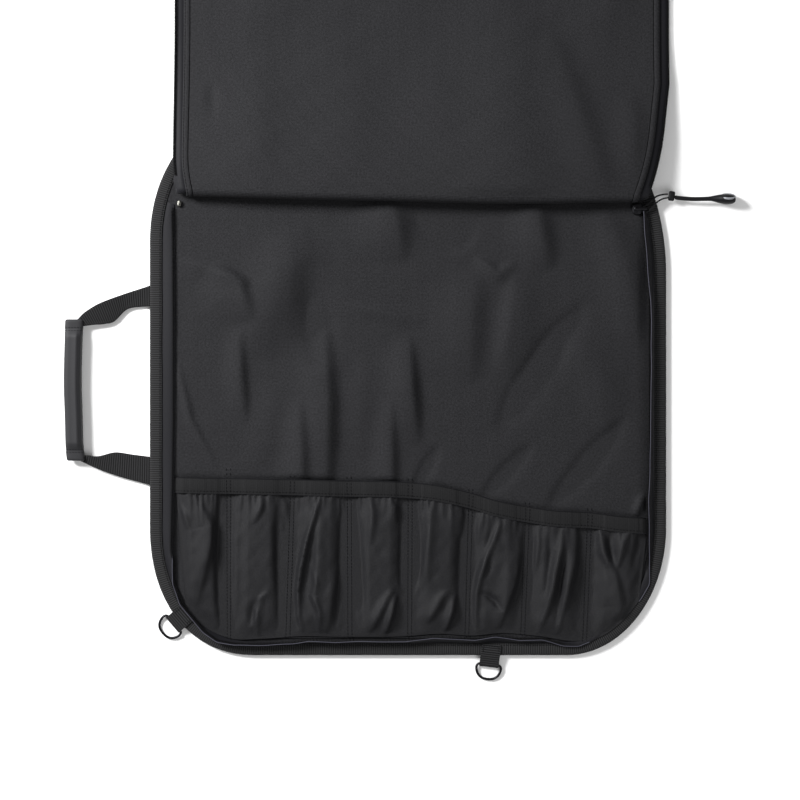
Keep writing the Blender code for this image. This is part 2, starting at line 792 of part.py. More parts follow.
def make_pockets():
    base = LINING_TOP + CLEARANCE + POCKET_THICKNESS / 2
    for number, (left, right) in enumerate(zip(POCKET_SEAMS, POCKET_SEAMS[1:]), start=1):
        gap = SEAM_GAP / CASE_WIDTH
        left = (left[0] + gap, left[1] + gap)
        right = (right[0] - gap, right[1] - gap)
        grid = []
        for row in range(POCKET_ROWS + 1):
            line = []
            for column in range(POCKET_COLUMNS + 1):
                across = column / POCKET_COLUMNS
                if number % 2 == 0:
                    across = 1.0 - across
                x, y, share = pocket_point(left, right, across, row / POCKET_ROWS)
                line.append((x, y, base + POCKET_BULGE * share))
            grid.append(line if number % 2 else line[::-1])
        sheet(f"pocket_{number}", np.array(grid), POCKET_THICKNESS, black_cloth())


def make_pocket_hem():
    """A flat ribbon over the pockets' mouths, sewn down at its two ends."""
    first, last = HEM_LINE[0][0], HEM_LINE[-1][0]
    turn_down = HEM_END / CASE_WIDTH
    xs = np.concatenate([[first], np.linspace(first + turn_down, last - turn_down, HEM_STEPS), [last]])
    upper = table_curve(HEM_LINE)(xs) * CASE_LENGTH
    tallest = max(row[1] for row in GATHERS) * POCKET_BULGE
    seat = LINING_TOP + CLEARANCE + HEM_THICKNESS / 2
    height = np.full(len(xs), seat + POCKET_THICKNESS + CLEARANCE + tallest)
    height[[0, -1]] = seat
    grid = np.stack(
        [
            np.column_stack([xs * CASE_WIDTH, upper, height]),
            np.column_stack([xs * CASE_WIDTH, upper - HEM_WIDTH, height]),
        ],
        axis=1,
    )
    sheet("pocket_hem", grid, HEM_THICKNESS, black_ribbon())


def webbing_rings():
    """Sections of the handle's strap: flat where it shows, folded narrow inside the grip."""
    half = WEBBING_THICKNESS / 2
    left = -CASE_WIDTH / 2

    def flat(row):
        upper = np.array([left + row[0] * CASE_LENGTH, row[1] * CASE_LENGTH, row[4] * GRIP_HEIGHT])
        lower = np.array([left + row[2] * CASE_LENGTH, row[3] * CASE_LENGTH, row[5] * GRIP_HEIGHT])
        return upper, lower, half

    stations = [flat(row) for row in WEBBING_UPPER]
    past_grip = 0.25 * GRIP_WIDTH / CASE_LENGTH
    for y in np.linspace(GRIP_LINE[0][0] + past_grip, GRIP_LINE[-1][0] - past_grip, GRIP_STEPS):
        centre = grip_point(y)
        side = np.array([CORE_WIDTH / 2, 0.0, 0.0])
        stations.append((centre - side, centre + side, CORE_HEIGHT / 2))
    stations += [flat(row) for row in WEBBING_LOWER]
    rings = []
    middles = [(outer + inner) / 2 for outer, inner, _ in stations]
    for i, (outer, inner, thick) in enumerate(stations):
        along = middles[min(i + 1, len(middles) - 1)] - middles[max(i - 1, 0)]
        across = inner - outer
        up = np.cross(along, across)
        up /= np.linalg.norm(up)
        rings.append([outer - up * thick, inner - up * thick, inner + up * thick, outer + up * thick])
    return rings


def grip_point(y_share):
    """The grip's middle line at this y, a share of the case's length."""
    ordered = sorted(GRIP_LINE)
    x = table_curve(ordered)(y_share)
    return np.array([-CASE_WIDTH / 2 + x * CASE_LENGTH, y_share * CASE_LENGTH, GRIP_HEIGHT / 2])


def make_handle():
    lofted("handle_webbing", webbing_rings(), black_ribbon())
    sides = 12
    angles = np.linspace(0.0, 2 * math.pi, sides, endpoint=False)
    first, last = GRIP_LINE[0][0], GRIP_LINE[-1][0]
    steps = np.linspace(0.0, 1.0, GRIP_STEPS + 1)
    steps = np.concatenate([[0.0, 0.02], steps[1:-1], [0.98, 1.0]])

    def ring(share, half_width, half_height, fullness):
        centre = grip_point(first + (last - first) * share)
        cos, sin = np.cos(angles), np.sin(angles)
        x = half_width * np.sign(cos) * np.abs(cos) ** (2 / fullness)
        z = half_height * np.sign(sin) * np.abs(sin) ** (2 / fullness)
        return np.column_stack([centre[0] + x, np.full(sides, centre[1]), centre[2] + z])

    outer = []
    for share in steps:
        size = GRIP_ROUNDING if share in (0.0, 1.0) else 1.0
        outer.append(ring(share, size * GRIP_WIDTH / 2, size * GRIP_HEIGHT / 2, 2.8))
    inner = [
        ring(share, CORE_WIDTH / 2 + CORE_CLEARANCE, CORE_HEIGHT / 2 + CORE_CLEARANCE, 8.0)
        for share in steps[::-1]
    ]
    lofted("handle_grip", outer + inner, black_cloth(), closed=True)


def ring_frame(name, heading):
    """The point on the case's edge that a ring hangs from, its way out and its way along."""
    points, outward = case_outline(4 * CORNER_STEPS, 4 * SIDE_STEPS)
    out = np.array([math.cos(math.radians(heading)), math.sin(math.radians(heading))])
    edge = points[np.argmax(outward @ out)]
    if name == "edge_ring":
        edge = np.array([EDGE_RING_X * CASE_WIDTH, -CASE_LENGTH / 2])
    return edge, out, np.array([-out[1], out[0]])


def make_tab_and_ring(name, heading, tab_width, tab_reach):
    edge, out, along = ring_frame(name, heading)
    bar_height = TAB_THICKNESS + CLEARANCE + RING_WIRE / 2
    loop = RING_WIRE / 2 + CLEARANCE + TAB_THICKNESS / 2
    bar_reach = tab_reach - loop - TAB_THICKNESS / 2
    top = BINDING_TOP + CLEARANCE + TAB_THICKNESS / 2
    past_case = 0.0024
    line = [(-TAB_LAP, top), (-past_case, top), (past_case, top - TAB_THICKNESS / 2)]
    for angle in np.linspace(90.0, -90.0, 7):
        turn = math.radians(angle)
        line.append((bar_reach + loop * math.cos(turn), bar_height + loop * math.sin(turn)))
    line.append((past_case + TAB_THICKNESS, TAB_THICKNESS / 2))
    grid = []
    for reach, height in line:
        middle = edge + out * reach
        grid.append([(*(middle - along * tab_width / 2), height), (*(middle + along * tab_width / 2), height)])
    sheet(f"{name}_tab", np.array(grid)[::-1], TAB_THICKNESS, black_cloth())

    half_width = (RING_WIDTH - RING_WIRE) / 2
    depth = RING_DEPTH - RING_WIRE
    fall = (bar_height - RING_WIRE / 2) / depth
    power = 2 / RING_FULLNESS
    line = [(share * half_width, 0.0) for share in (-0.45, 0.45)]
    for angle in np.linspace(0.0, math.pi, 15):
        cos, sin = math.cos(angle), math.sin(angle)
        line.append((half_width * math.copysign(abs(cos) ** power, cos), depth * abs(sin) ** power))
    points = [
        (*(edge + out * (bar_reach + reach) + along * across), bar_height - fall * reach)
        for across, reach in line
    ]
    tube(name, points, RING_WIRE, dark_metal(), sides=1, closed=True)


def block(name, centre, size, finish, turn=0.0, bevel=0.0006):
    """A small block with rounded edges, turned about the vertical."""
    bpy.ops.mesh.primitive_cube_add(size=1.0, location=[float(v) for v in centre])
    obj = bpy.context.object
    obj.name = name
    obj.data.name = name
    for vertex in obj.data.vertices:
        vertex.co = [vertex.co[i] * size[i] for i in range(3)]
    obj.rotation_euler[2] = math.radians(turn)
    obj.data.materials.append(finish)
    rounding = obj.modifiers.new("rounding", "BEVEL")
    rounding.width = bevel
    rounding.segments = 1
    return obj


def plan_point(share_x, share_y, height):
    return np.array([share_x * CASE_WIDTH, share_y * CASE_LENGTH, height])


def make_slider_and_stop():
    fold_y = CASE_LENGTH / 2 - FOLD_FROM_FAR_EDGE
    seat = LINING_TOP + CLEARANCE
    centre = (SLIDER_X * CASE_WIDTH, fold_y - SLIDER_FROM_FOLD, seat + SLIDER_HEIGHT / 2)
    size = (SLIDER_WIDTH, SLIDER_LENGTH, SLIDER_HEIGHT)
    slider = block("zip_slider", centre, size, dark_metal(), bevel=0.0012)
    post_x = SLIDER_POST_X * CASE_WIDTH
    top = seat + SLIDER_HEIGHT
    reach = post_x + SLIDER_POST / 2 - centre[0]
    arm_centre = (centre[0] + reach / 2, centre[1], top - SLIDER_ARM / 2)
    arm = block("slider_arm", arm_centre, (reach, SLIDER_POST, SLIDER_ARM), dark_metal(), bevel=0.0003)
    post_height = SLIDER_HEIGHT - SLIDER_ARM / 2
    post_centre = (post_x, centre[1], seat + post_height / 2)
    post_size = (SLIDER_POST, SLIDER_POST, post_height)
    post = block("slider_post", post_centre, post_size, dark_metal(), bevel=0.0011)
    for piece in (arm, post):
        piece.hide_render = True
        piece.display_type = "WIRE"
        joined = slider.modifiers.new(piece.name, "BOOLEAN")
        joined.operation = "UNION"
        joined.object = piece
    centre = (STOP_X * CASE_WIDTH, fold_y - STOP_FROM_FOLD, seat + STOP_HEIGHT / 2)
    block("zip_stop", centre, (STOP_WIDTH, STOP_LENGTH, STOP_HEIGHT), dark_metal(), turn=-12.0)


def smooth_route(points, spacing):
    """Points at even spacing on a smooth curve through the given ones."""
    points = np.asarray(points, float)
    fine = []
    for i in range(len(points) - 1):
        before = points[max(i - 1, 0)]
        after = points[min(i + 2, len(points) - 1)]
        a, b = points[i], points[i + 1]
        for t in np.linspace(0.0, 1.0, 20, endpoint=False):
            fine.append(
                0.5
                * (
                    2 * a
                    + (b - before) * t
                    + (2 * before - 5 * a + 4 * b - after) * t * t
                    + (3 * a - before - 3 * b + after) * t ** 3
                )
            )
    fine = np.array(fine + [points[-1]])
    length = np.concatenate([[0.0], np.cumsum(np.linalg.norm(np.diff(fine, axis=0), axis=1))])
    wanted = np.linspace(0.0, length[-1], max(2, round(length[-1] / spacing)) + 1)
    return np.stack([np.interp(wanted, length, fine[:, i]) for i in range(3)], axis=1)


def make_pull():
    route = smooth_route([plan_point(*row) for row in CORD_ROUTE], CORD_STEP)
    tube("pull_cord", route, CORD_DIAMETER, black_cloth(), sides=1)
    places = {name: plan_point(x, y, z) for name, x, y, z, _ in PULL_LINE}
    size = (BEAD_LENGTH, BEAD_WIDTH, BEAD_HEIGHT)
    block("pull_bead", places["bead"], size, black_plastic(), turn=BEAD_TURN, bevel=0.0012)

    angles = np.linspace(0.0, 2 * math.pi, 10, endpoint=False)
    rings = []
    for name, _, _, _, share in PULL_LINE[1:]:
        place = places[name]
        y = place[1] + share * PULL_DIAMETER / 2 * np.cos(angles)
        z = place[2] + share * PULL_DIAMETER / 2 * np.sin(angles)
        rings.append(np.column_stack([np.full_like(y, place[0]), y, z]))
    sleeve = lofted("pull_grip", rings, black_plastic())

    disc = disc_at("pull_disc_shape", places["disc"], DISC_DIAMETER, DISC_THICKNESS, 0.0, 20)
    disc.hide_render = True
    disc.display_type = "WIRE"
    joined = sleeve.modifiers.new("disc", "BOOLEAN")
    joined.operation = "UNION"
    joined.object = disc
    lift = DISC_THICKNESS / 2 + CLEARANCE + INLAY_THICKNESS / 2
    disc_at("pull_inlay", places["disc"], INLAY_DIAMETER, INLAY_THICKNESS, lift, 20)


def disc_at(name, centre, diameter, thickness, lift, sides):
    """A disc standing on its edge, leaning back from the cook, lifted along its own axis."""
    tilt = math.radians(DISC_TILT)
    axis = np.array([0.0, math.sin(tilt), math.cos(tilt)])
    side = np.array([1.0, 0.0, 0.0])
    up = np.cross(axis, side)
    angles = np.linspace(0.0, 2 * math.pi, sides, endpoint=False)
    rounding = min(DISC_ROUNDING, thickness / 3)
    rings = []
    for height, radius in (
        (-thickness / 2, diameter / 2 - rounding),
        (-thickness / 2 + rounding, diameter / 2),
        (thickness / 2 - rounding, diameter / 2),
        (thickness / 2, diameter / 2 - rounding),
    ):
        middle = centre + axis * (lift + height)
        rings.append([middle + radius * (side * math.cos(a) + up * math.sin(a)) for a in angles])
    return lofted(name, rings, pale_plastic())


def main():
    for obj in list(bpy.data.objects):
        bpy.data.objects.remove(obj, do_unlink=True)
    make_back_panel()
    make_back_binding()
    make_back_lining()
    make_back_zip()
    make_front()
    make_pockets()
    make_pocket_hem()
    make_handle()
    for row in RINGS:
        make_tab_and_ring(*row)
    make_slider_and_stop()
    make_pull()


if __name__ == "__main__":
    main()
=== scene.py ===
"""The looks of a flat chef's knife case that lies open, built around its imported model.

Everything is in metres, in the model's own frame: +X to the right along the pockets, +Y away from the cook,
+Z up.
"""

import functools
import math

import bpy
import numpy as np
from bpy.props import FloatProperty, FloatVectorProperty, PointerProperty
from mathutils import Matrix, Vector


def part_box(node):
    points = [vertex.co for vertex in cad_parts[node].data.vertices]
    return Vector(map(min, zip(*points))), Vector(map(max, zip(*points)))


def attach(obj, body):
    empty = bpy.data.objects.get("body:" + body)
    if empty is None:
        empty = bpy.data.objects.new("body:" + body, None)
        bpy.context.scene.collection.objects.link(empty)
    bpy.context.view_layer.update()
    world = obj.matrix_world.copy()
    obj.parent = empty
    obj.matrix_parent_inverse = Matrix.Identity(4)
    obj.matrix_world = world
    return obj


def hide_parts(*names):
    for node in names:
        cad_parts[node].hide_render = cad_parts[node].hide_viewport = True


bl_info = {
    "name": "Chef's knife case",
    "version": (1, 0, 0),
    "blender": (4, 5, 0),
    "location": "3D View > Sidebar > Knife case",
    "description": "Builds a zip-round knife case with gathered pockets, piece by piece",
    "category": "Add Mesh",
}

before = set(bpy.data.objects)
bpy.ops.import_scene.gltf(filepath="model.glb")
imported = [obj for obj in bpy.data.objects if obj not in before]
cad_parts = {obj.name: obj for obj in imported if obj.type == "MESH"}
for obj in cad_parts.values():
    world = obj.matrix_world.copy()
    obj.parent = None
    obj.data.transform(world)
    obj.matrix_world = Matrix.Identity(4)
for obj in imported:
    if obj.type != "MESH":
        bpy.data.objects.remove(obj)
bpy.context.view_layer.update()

# The model's own sizes
CASE_WIDTH = 0.490
CASE_LENGTH = 0.510
CLEARANCE = 0.0003
PANEL_THICKNESS = 0.0039
BINDING_WIDTH = 0.0115
BINDING_THICKNESS = 0.0011
BINDING_TOP = PANEL_THICKNESS + CLEARANCE + BINDING_THICKNESS
LINING_THICKNESS = 0.0008
LINING_INSET = 0.0165
LINING_MIDDLE = PANEL_THICKNESS + CLEARANCE + LINING_THICKNESS / 2
LINING_TOP = LINING_MIDDLE + LINING_THICKNESS / 2
TAPE_THICKNESS = 0.0008
COIL_DIAMETER = 0.0032
BACK_TAPE_HEIGHT = 0.0075
FRONT_TAPE_WIDTH = 0.0086
FRONT_TAPE_INSET = 0.0105
FRONT_THICKNESS = 0.0022
FACING_WIDTH = 0.0066
FOLD_FROM_FAR_EDGE = 0.0808
FOLD_RADIUS = 0.0045
POUCH_HEIGHT = 0.0130
SEAM_STEP = 0.0024
SEAM_STEP_WIDTH = 0.0080
SEWN_EDGE_HEIGHT = BINDING_TOP + CLEARANCE + TAPE_THICKNESS / 2
LID_FALL = 0.1640
SIDE_DROP = 0.20
LID_SHIFT = 0.0130
LID_SPREAD = 0.1050
POCKET_THICKNESS = 0.0010
HEM_WIDTH = 0.0138
HEM_THICKNESS = 0.0012
WEBBING_THICKNESS = 0.0016
GRIP_WIDTH = 0.0165
GRIP_HEIGHT = 0.0140
RING_WIDTH = 0.0262
RING_DEPTH = 0.0165
RING_WIRE = 0.0024
RING_FULLNESS = 2.5
TAB_THICKNESS = 0.0011
TAB_LAP = 0.0105
CORD_DIAMETER = 0.0015

# Sizes that follow from those
FOLD_Y = CASE_LENGTH / 2 - FOLD_FROM_FAR_EDGE
STRIP_RUN = FOLD_FROM_FAR_EDGE - FOLD_RADIUS - FRONT_THICKNESS - LINING_THICKNESS
HALF_TURN = math.pi * FOLD_RADIUS
PANEL_INSET = FRONT_TAPE_INSET + FRONT_TAPE_WIDTH
FACE_LIFT = FRONT_THICKNESS / 2 + 2 * CLEARANCE

# A wave texture has one band each 2 pi / 20 of its scale.
WAVE_RATE = 2 * math.pi / 20

# How finely the looks are made
OUTLINE_STEP = 0.0010
POINTS_PER_RIB = 4
POINTS_PER_WEBBING_RIB = 5
LINING_GRID = (215, 200)
FRONT_ROWS = (26, 17, 150)
FRONT_COLUMNS = 165
POCKET_GRID = (393, 122)
GRIP_GRID = (44, 150)
PLEATS_PER_POCKET = 9
# Radius of the pale cords that paint the highlight on the zip tape's free edge
EDGE_HIGHLIGHT_RADIUS = 0.00034
FOLD_GAIN = {"lining": 2.4, "lid": 1.5, "pockets": 1.45}

# The pocket strip and the zip tape as cut: the spacing of the pockets' seams and the depth of each
POCKET_SPACING = 0.062
POCKET_CUT_DEPTH = 0.155
TAPE_CUT_WIDTH = 0.009

# Where seams, threads and small faces lie
BINDING_STITCH = {"inset": 0.0098, "height": 0.00535}
BACK_TAPE_SEAM = BINDING_WIDTH + 0.0014
LID_STITCH_INSET = PANEL_INSET + 0.0014
SEAM_HALF_GAP = 0.034
STITCH_LIFT = 0.0004

# Light and camera
KEY_LIGHT = {"place": (-1.4, 0.85, 1.15), "aim": (0.0, 0.0, 0.0), "size": 0.7, "power": 86.0}
FILL_LIGHT = {"place": (1.2, -1.2, 2.0), "aim": (0.1, -0.2, 0.0), "size": 1.6, "power": 19.0}
SKY_LIGHT = 0.35
CAMERA_HEIGHT = 2.0
SENSOR_WIDTH = 36.0
VIEW_UNITS = 800
FLOOR_REACH = 6.0
FLOOR_LEVEL = -0.0002

CORNERS = (
    # side in X, side in Y, share of width, share of length, fullness
    (1, 1, 0.171, 0.292, 2.0),
    (-1, 1, 0.169, 0.228, 2.0),
    (-1, -1, 0.204, 0.242, 2.2),
    (1, -1, 0.194, 0.238, 2.0),
)
FOLD_LINE = (
    # share of the case's width from the left, share of FOLD_FROM_FAR_EDGE
    (0.00, -0.070),
    (0.25, -0.022),
    (0.45, 0.002),
    (0.70, 0.035),
    (0.85, 0.022),
    (1.00, 0.000),
)

# Places on the plan are in units of 0.95 mm, to the right and down from its upper left corner.
PLAN_UNIT = 0.00095
PLAN_MIDDLE = (408.0, 386.5)

# Free edge of the back's zip, from the left end of the fold round the near edge to its right end.
ZIP_EDGE = (
    (174.5, 200), (175.5, 240), (175.8, 300), (175.8, 420), (175.0, 480), (173.8, 529), (173.4, 560),
    (173.6, 584),
    (180.5, 603.5), (191.8, 617), (204, 631), (217.8, 640.7), (235, 643.8), (266, 643.8), (294, 642.4),
    (309.6, 639.5), (335.6, 641.2), (361.6, 639.9), (405, 640.7), (433.6, 636.7), (474.7, 639.3),
    (495, 635.6),
    (519.5, 639.3), (541.9, 638.9), (562.4, 645), (578, 645.2), (592, 640), (604, 632), (618, 621.5),
    (630, 610),
    (640, 599),
    (648.5, 584), (648.4, 563), (647.3, 498), (648.5, 471), (649, 443), (650, 368), (649.5, 301),
    (646.7, 275),
    (643.3, 234), (642, 205),
)
# How high that edge stands above its seam along its way.
ZIP_RISE = (
    # share of the way, share of BACK_TAPE_HEIGHT
    (0.00, 0.08), (0.04, 0.20), (0.20, 0.18), (0.30, 0.50), (0.36, 0.90), (0.46, 1.00), (0.52, 0.92),
    (0.59, 0.62),
    (0.66, 0.06), (0.72, 0.14), (0.77, 0.70), (0.85, 0.90), (1.00, 0.75),
)

# Soft folds on the back's lining: how high in mm, how wide to the left and to the right of a line drawn
# downwards in plan units, and the line.
LINING_FOLDS = (
    (2.0, 14, 5, ((240, 330), (241.5, 375), (246, 425))),
    (3.0, 30, 30, ((304, 226), (278, 290), (246, 356))),
    (-1.6, 14, 20, ((306, 258), (312, 310), (318, 376))),
    (3.4, 26, 9, ((324, 320), (328, 400), (325, 520))),
    (2.6, 16, 7, ((299, 396), (301, 450), (302, 530))),
    (3.0, 24, 7, ((408, 335), (411, 390), (417, 445))),
    (1.0, 4, 9, ((426, 324), (385, 312), (343, 302))),
    (2.2, 15, 6, ((390, 396), (391, 450), (392, 530))),
    (-1.6, 5, 7, ((440, 444), (430, 460), (412, 492))),
    (-2.2, 10, 18, ((589, 300), (548, 347), (520, 390), (494, 434))),
    (2.2, 30, 14, ((478, 270), (470, 320), (468, 385))),
    (2.0, 12, 26, ((520, 262), (512, 320), (500, 380))),
    (-1.6, 6, 9, ((534, 442), (508, 468), (478, 502))),
    (-2.1, 7, 12, ((628, 414), (590, 456), (544, 512))),
    (2.6, 34, 12, ((384, 190), (396, 224), (402, 262))),
    (3.0, 24, 12, ((530, 190), (538, 224), (548, 272))),
    (1.8, 4, 9, ((517, 262), (498, 273), (474, 258))),
    (2.2, 22, 16, ((596, 200), (624, 262), (636, 350))),
    (-1.8, 22, 22, ((430, 190), (446, 224), (470, 250))),
    (2.4, 34, 7, ((214, 262), (240, 284), (252, 322))),
    (1.2, 4, 8, ((253, 284), (215, 270), (178, 260))),
    (1.2, 4, 3, ((178, 360), (191, 420), (219, 470))),
    (2.0, 4, 3, ((648, 490), (640, 502), (633, 517))),
    (1.2, 20, 20, ((560, 330), (600, 380), (610, 440))),
    (1.0, 18, 18, ((280, 380), (268, 430), (256, 470))),
    (0.9, 16, 16, ((370, 350), (362, 400), (360, 460))),
)

# Soft folds on the folded-back front: the part near the fold, then the part that lies beyond it.
LID_FOLDS = (
    (-1.0, 7, 5, ((213, 84), (214, 104), (215, 122))),
    (4.2, 60, 44, ((506, -20), (512, 110), (514, 250))),
    (2.6, 26, 14, ((548, 30), (577, 118), (606, 200))),
    (1.6, 16, 12, ((628, 90), (632, 140), (632, 184))),
    (1.2, 40, 26, ((330, 20), (350, 90), (352, 180))),
    (1.0, 30, 24, ((430, 40), (436, 110), (446, 186))),
    (1.0, 24, 20, ((262, 40), (258, 110), (268, 188))),
    (1.6, 40, 26, ((250, -160), (320, -90), (360, -20))),
    (1.6, 30, 44, ((560, -170), (520, -90), (470, -10))),
    (1.2, 26, 34, ((300, -40), (260, 10), (246, 60))),
    (1.2, 34, 20, ((600, -60), (610, 0), (590, 60))),
)

# Stitch lines between the pockets: x at the hem and at the floor, in plan units.
POCKET_SEAMS = (
    (176.0, 186.0), (229.0, 229.0), (293.0, 288.0), (349.0, 350.0), (410.0, 409.5), (470.5, 466.5),
    (527.0, 522.0),
    (589.0, 584.0), (647.5, 638.0),
)
HEM_LINE = (
    # x and y of the hem's upper edge, in plan units
    (174, 477.8), (258, 479.2), (345, 481.3), (405, 482.7), (440, 486.4), (470, 493.3), (495, 500.8),
    (520, 505.8),
    (550, 510.5), (590, 513.0), (620, 516.7), (650, 518.6),
)
POCKET_FLOOR = (
    (176, 590), (186, 603), (200, 619), (214, 631), (230, 637.4), (262, 638), (300, 635.6), (340, 636.2),
    (405, 635.6), (440, 633.2), (474, 635), (500, 632.5), (540, 635.6), (575, 640.2), (598, 637), (614, 627),
    (630, 611), (640, 597), (648, 582),
)
# Folds in the gathered pockets, as in LINING_FOLDS.
POCKET_FOLDS = (
    (3.4, 13, 4.5, ((196, 494), (212, 525), (211, 545), (196, 606))),
    (1.6, 3, 3, ((177, 498), (186, 515), (190, 530))),
    (-2.4, 4, 4, ((219, 494), (218, 540), (219, 600), (222, 632))),
    (2.2, 3, 6, ((241, 494), (236, 512), (235, 560), (236, 620))),
    (2.0, 5, 3, ((265, 494), (261, 508), (254, 524))),
    (1.8, 4, 2.5, ((282, 494), (287, 506), (288, 520))),
    (-2.6, 4, 5, ((279, 498), (277, 530), (281, 600), (278, 632))),
    (2.0, 2.5, 4, ((270, 590), (262, 596), (257, 608), (258, 637))),
    (-2.0, 5, 3, ((263, 597), (254, 610), (250, 626))),
    (4.2, 3.0, 3.6, ((322.5, 492), (315, 513), (306.5, 542), (300.5, 569), (297.8, 590),
                     (299, 616), (304, 634))),
    (-2.0, 5, 6, ((313, 512), (311, 545), (307, 590), (309, 620))),
    (2.4, 4, 9, ((322, 510), (318, 550), (318, 600), (324, 632))),
    (2.2, 2.5, 3.5, ((312, 562), (316, 582), (313, 595), (319.5, 610), (319, 637))),
    (2.0, 8, 4, ((340, 560), (331, 600), (326, 636))),
    (-2.2, 4, 3, ((343, 496), (342, 560), (339, 600), (335, 632))),
    (-2.4, 5, 5, ((356, 496), (357, 540), (362, 590), (364, 628))),
    (1.8, 3, 4, ((371, 494), (373, 512), (370, 545))),
    (2.0, 6, 3, ((389, 494), (394, 506), (396, 524))),
    (-2.4, 3, 4, ((404, 494), (403, 545), (400, 590))),
    (2.8, 5, 4, ((394, 588), (388, 596), (369, 632))),
    (3.2, 4, 2.6, ((396.5, 592), (392, 612), (384, 638))),
    (-2.0, 4, 5, ((416, 496), (418, 530), (420, 600))),
    (2.2, 3, 6, ((432, 494), (430, 524), (424, 570), (414, 600))),
    (1.8, 8, 4, ((455, 500), (462, 515), (461, 540))),
    (-2.2, 6, 3, ((466, 502), (464, 560), (460, 610))),
    (2.6, 5, 4, ((449, 588), (441, 597), (427, 622))),
    (3.0, 4, 2.6, ((455, 592), (452, 610), (444, 634))),
    (3.8, 3.2, 4.0, ((502, 516), (490, 546), (479, 576), (475.5, 593), (475, 614), (477, 634))),
    (2.0, 3, 4, ((483, 508), (479, 524), (477, 545))),
    (-2.0, 4, 5, ((492, 518), (489, 540), (486, 580))),
    (3.4, 10, 3.6, ((520, 516), (521, 551), (514, 582), (502, 614), (497, 630))),
    (-2.2, 3, 4, ((480, 590), (494, 600), (503, 611))),
    (-2.2, 4, 4, ((532, 520), (530, 570), (524, 620))),
    (2.0, 4, 3, ((538.5, 520), (537, 545), (533, 580))),
    (-1.8, 4, 4, ((546, 524), (550, 552), (545, 600))),
    (3.6, 4.5, 4.0, ((563, 522), (560, 548), (555, 567), (551, 590), (546, 608), (537, 634))),
    (-2.6, 4, 3.5, ((566, 548), (561, 580), (555, 632))),
    (3.2, 6, 4.0, ((577, 524), (573, 564), (567, 588), (560, 613), (556, 636))),
    (2.8, 4, 5, ((598, 524), (602, 552), (613, 572))),
    (-3.0, 5, 5, ((608, 524), (609, 545), (613, 566))),
    (2.8, 5, 3, ((632, 524), (622, 542), (616, 568))),
    (3.0, 12, 3.6, ((613, 566), (616, 586), (619.5, 604), (618, 620))),
    (-1.8, 4, 5, ((640, 524), (636, 545), (628, 580))),
)
POCKET_BULGE = 0.0058
POCKETS = len(POCKET_SEAMS) - 1

WEBBING_UPPER = (
    # x and y of the upper edge, x and y of the lower edge, in plan units, and the height of each edge
    (153.0, 284.6, 153.0, 306.4, 0.0030, 0.0030),
    (148.7, 286.3, 148.7, 306.7, 0.0032, 0.0032),
    (127.0, 293.6, 128.6, 309.2, 0.0059, 0.0034),
    (110.0, 299.8, 115.0, 321.5, 0.0080, 0.0038),
    (98.0, 305.0, 105.0, 324.3, 0.0088, 0.0052),
    (86.0, 312.6, 94.0, 325.2, 0.0088, 0.0062),
    (79.0, 319.5, 84.5, 326.5, 0.0086, 0.0070),
)
WEBBING_LOWER = (
    (82.0, 456.0, 80.0, 460.0, 0.0078, 0.0062),
    (88.0, 455.0, 86.5, 463.2, 0.0074, 0.0058),
    (99.0, 456.0, 98.0, 468.6, 0.0062, 0.0048),
    (115.8, 452.2, 114.0, 474.6, 0.0045, 0.0038),
    (133.0, 454.4, 131.5, 479.8, 0.0036, 0.0032),
    (149.5, 456.5, 149.5, 484.6, 0.0030, 0.0030),
    (153.0, 456.9, 153.0, 485.4, 0.0030, 0.0030),
)
GRIP_LINE = (
    # y and x of the grip's middle, in plan units
    (319.6, 75.6), (345.0, 74.6), (384.0, 73.9), (420.0, 75.0), (443.0, 75.6), (460.6, 77.2),
)
RINGS = (
    # name, way out from the case in degrees, tab's width, its reach past the case's edge, place on that edge
    ("corner_ring", -139.5, 0.0186, 0.0078, (-0.21798, -0.22164)),
    ("edge_ring", -96.5, 0.0182, 0.0114, (0.07791, -0.25500)),
)
CORD_ROUTE = (
    # x as a share of the case's width and y as a share of its length, both from the middle, and height
    (0.5018, 0.3568, 0.0080),
    (0.4930, 0.3563, 0.0081),
    (0.4820, 0.3535, 0.0081),
    (0.4725, 0.3476, 0.0082),
    (0.4645, 0.3400, 0.0082),
    (0.4555, 0.3334, 0.0082),
    (0.4538, 0.3292, 0.0082),
    (0.4555, 0.3250, 0.0082),
    (0.4600, 0.3232, 0.0082),
    (0.4644, 0.3250, 0.0082),
    (0.4725, 0.3330, 0.0082),
    (0.4816, 0.3424, 0.0081),
    (0.4918, 0.3482, 0.0080),
    (0.5010, 0.3500, 0.0079),
    (0.5100, 0.3520, 0.0078),
    (0.5220, 0.3500, 0.0076),
    (0.5420, 0.3482, 0.0075),
)


def linear(hex_colour):
    """An sRGB hex colour as linear red, green and blue."""
    values = [int(hex_colour[i : i + 2], 16) / 255 for i in (1, 3, 5)]
    return tuple(v / 12.92 if v <= 0.04045 else ((v + 0.055) / 1.055) ** 2.4 for v in values)


def length_setting(name, description, default):
    return FloatProperty(name=name, description=description, default=default, unit="LENGTH")


def colour_setting(name, description, default):
    return FloatVectorProperty(name=name, description=description, default=linear(default), subtype="COLOR")


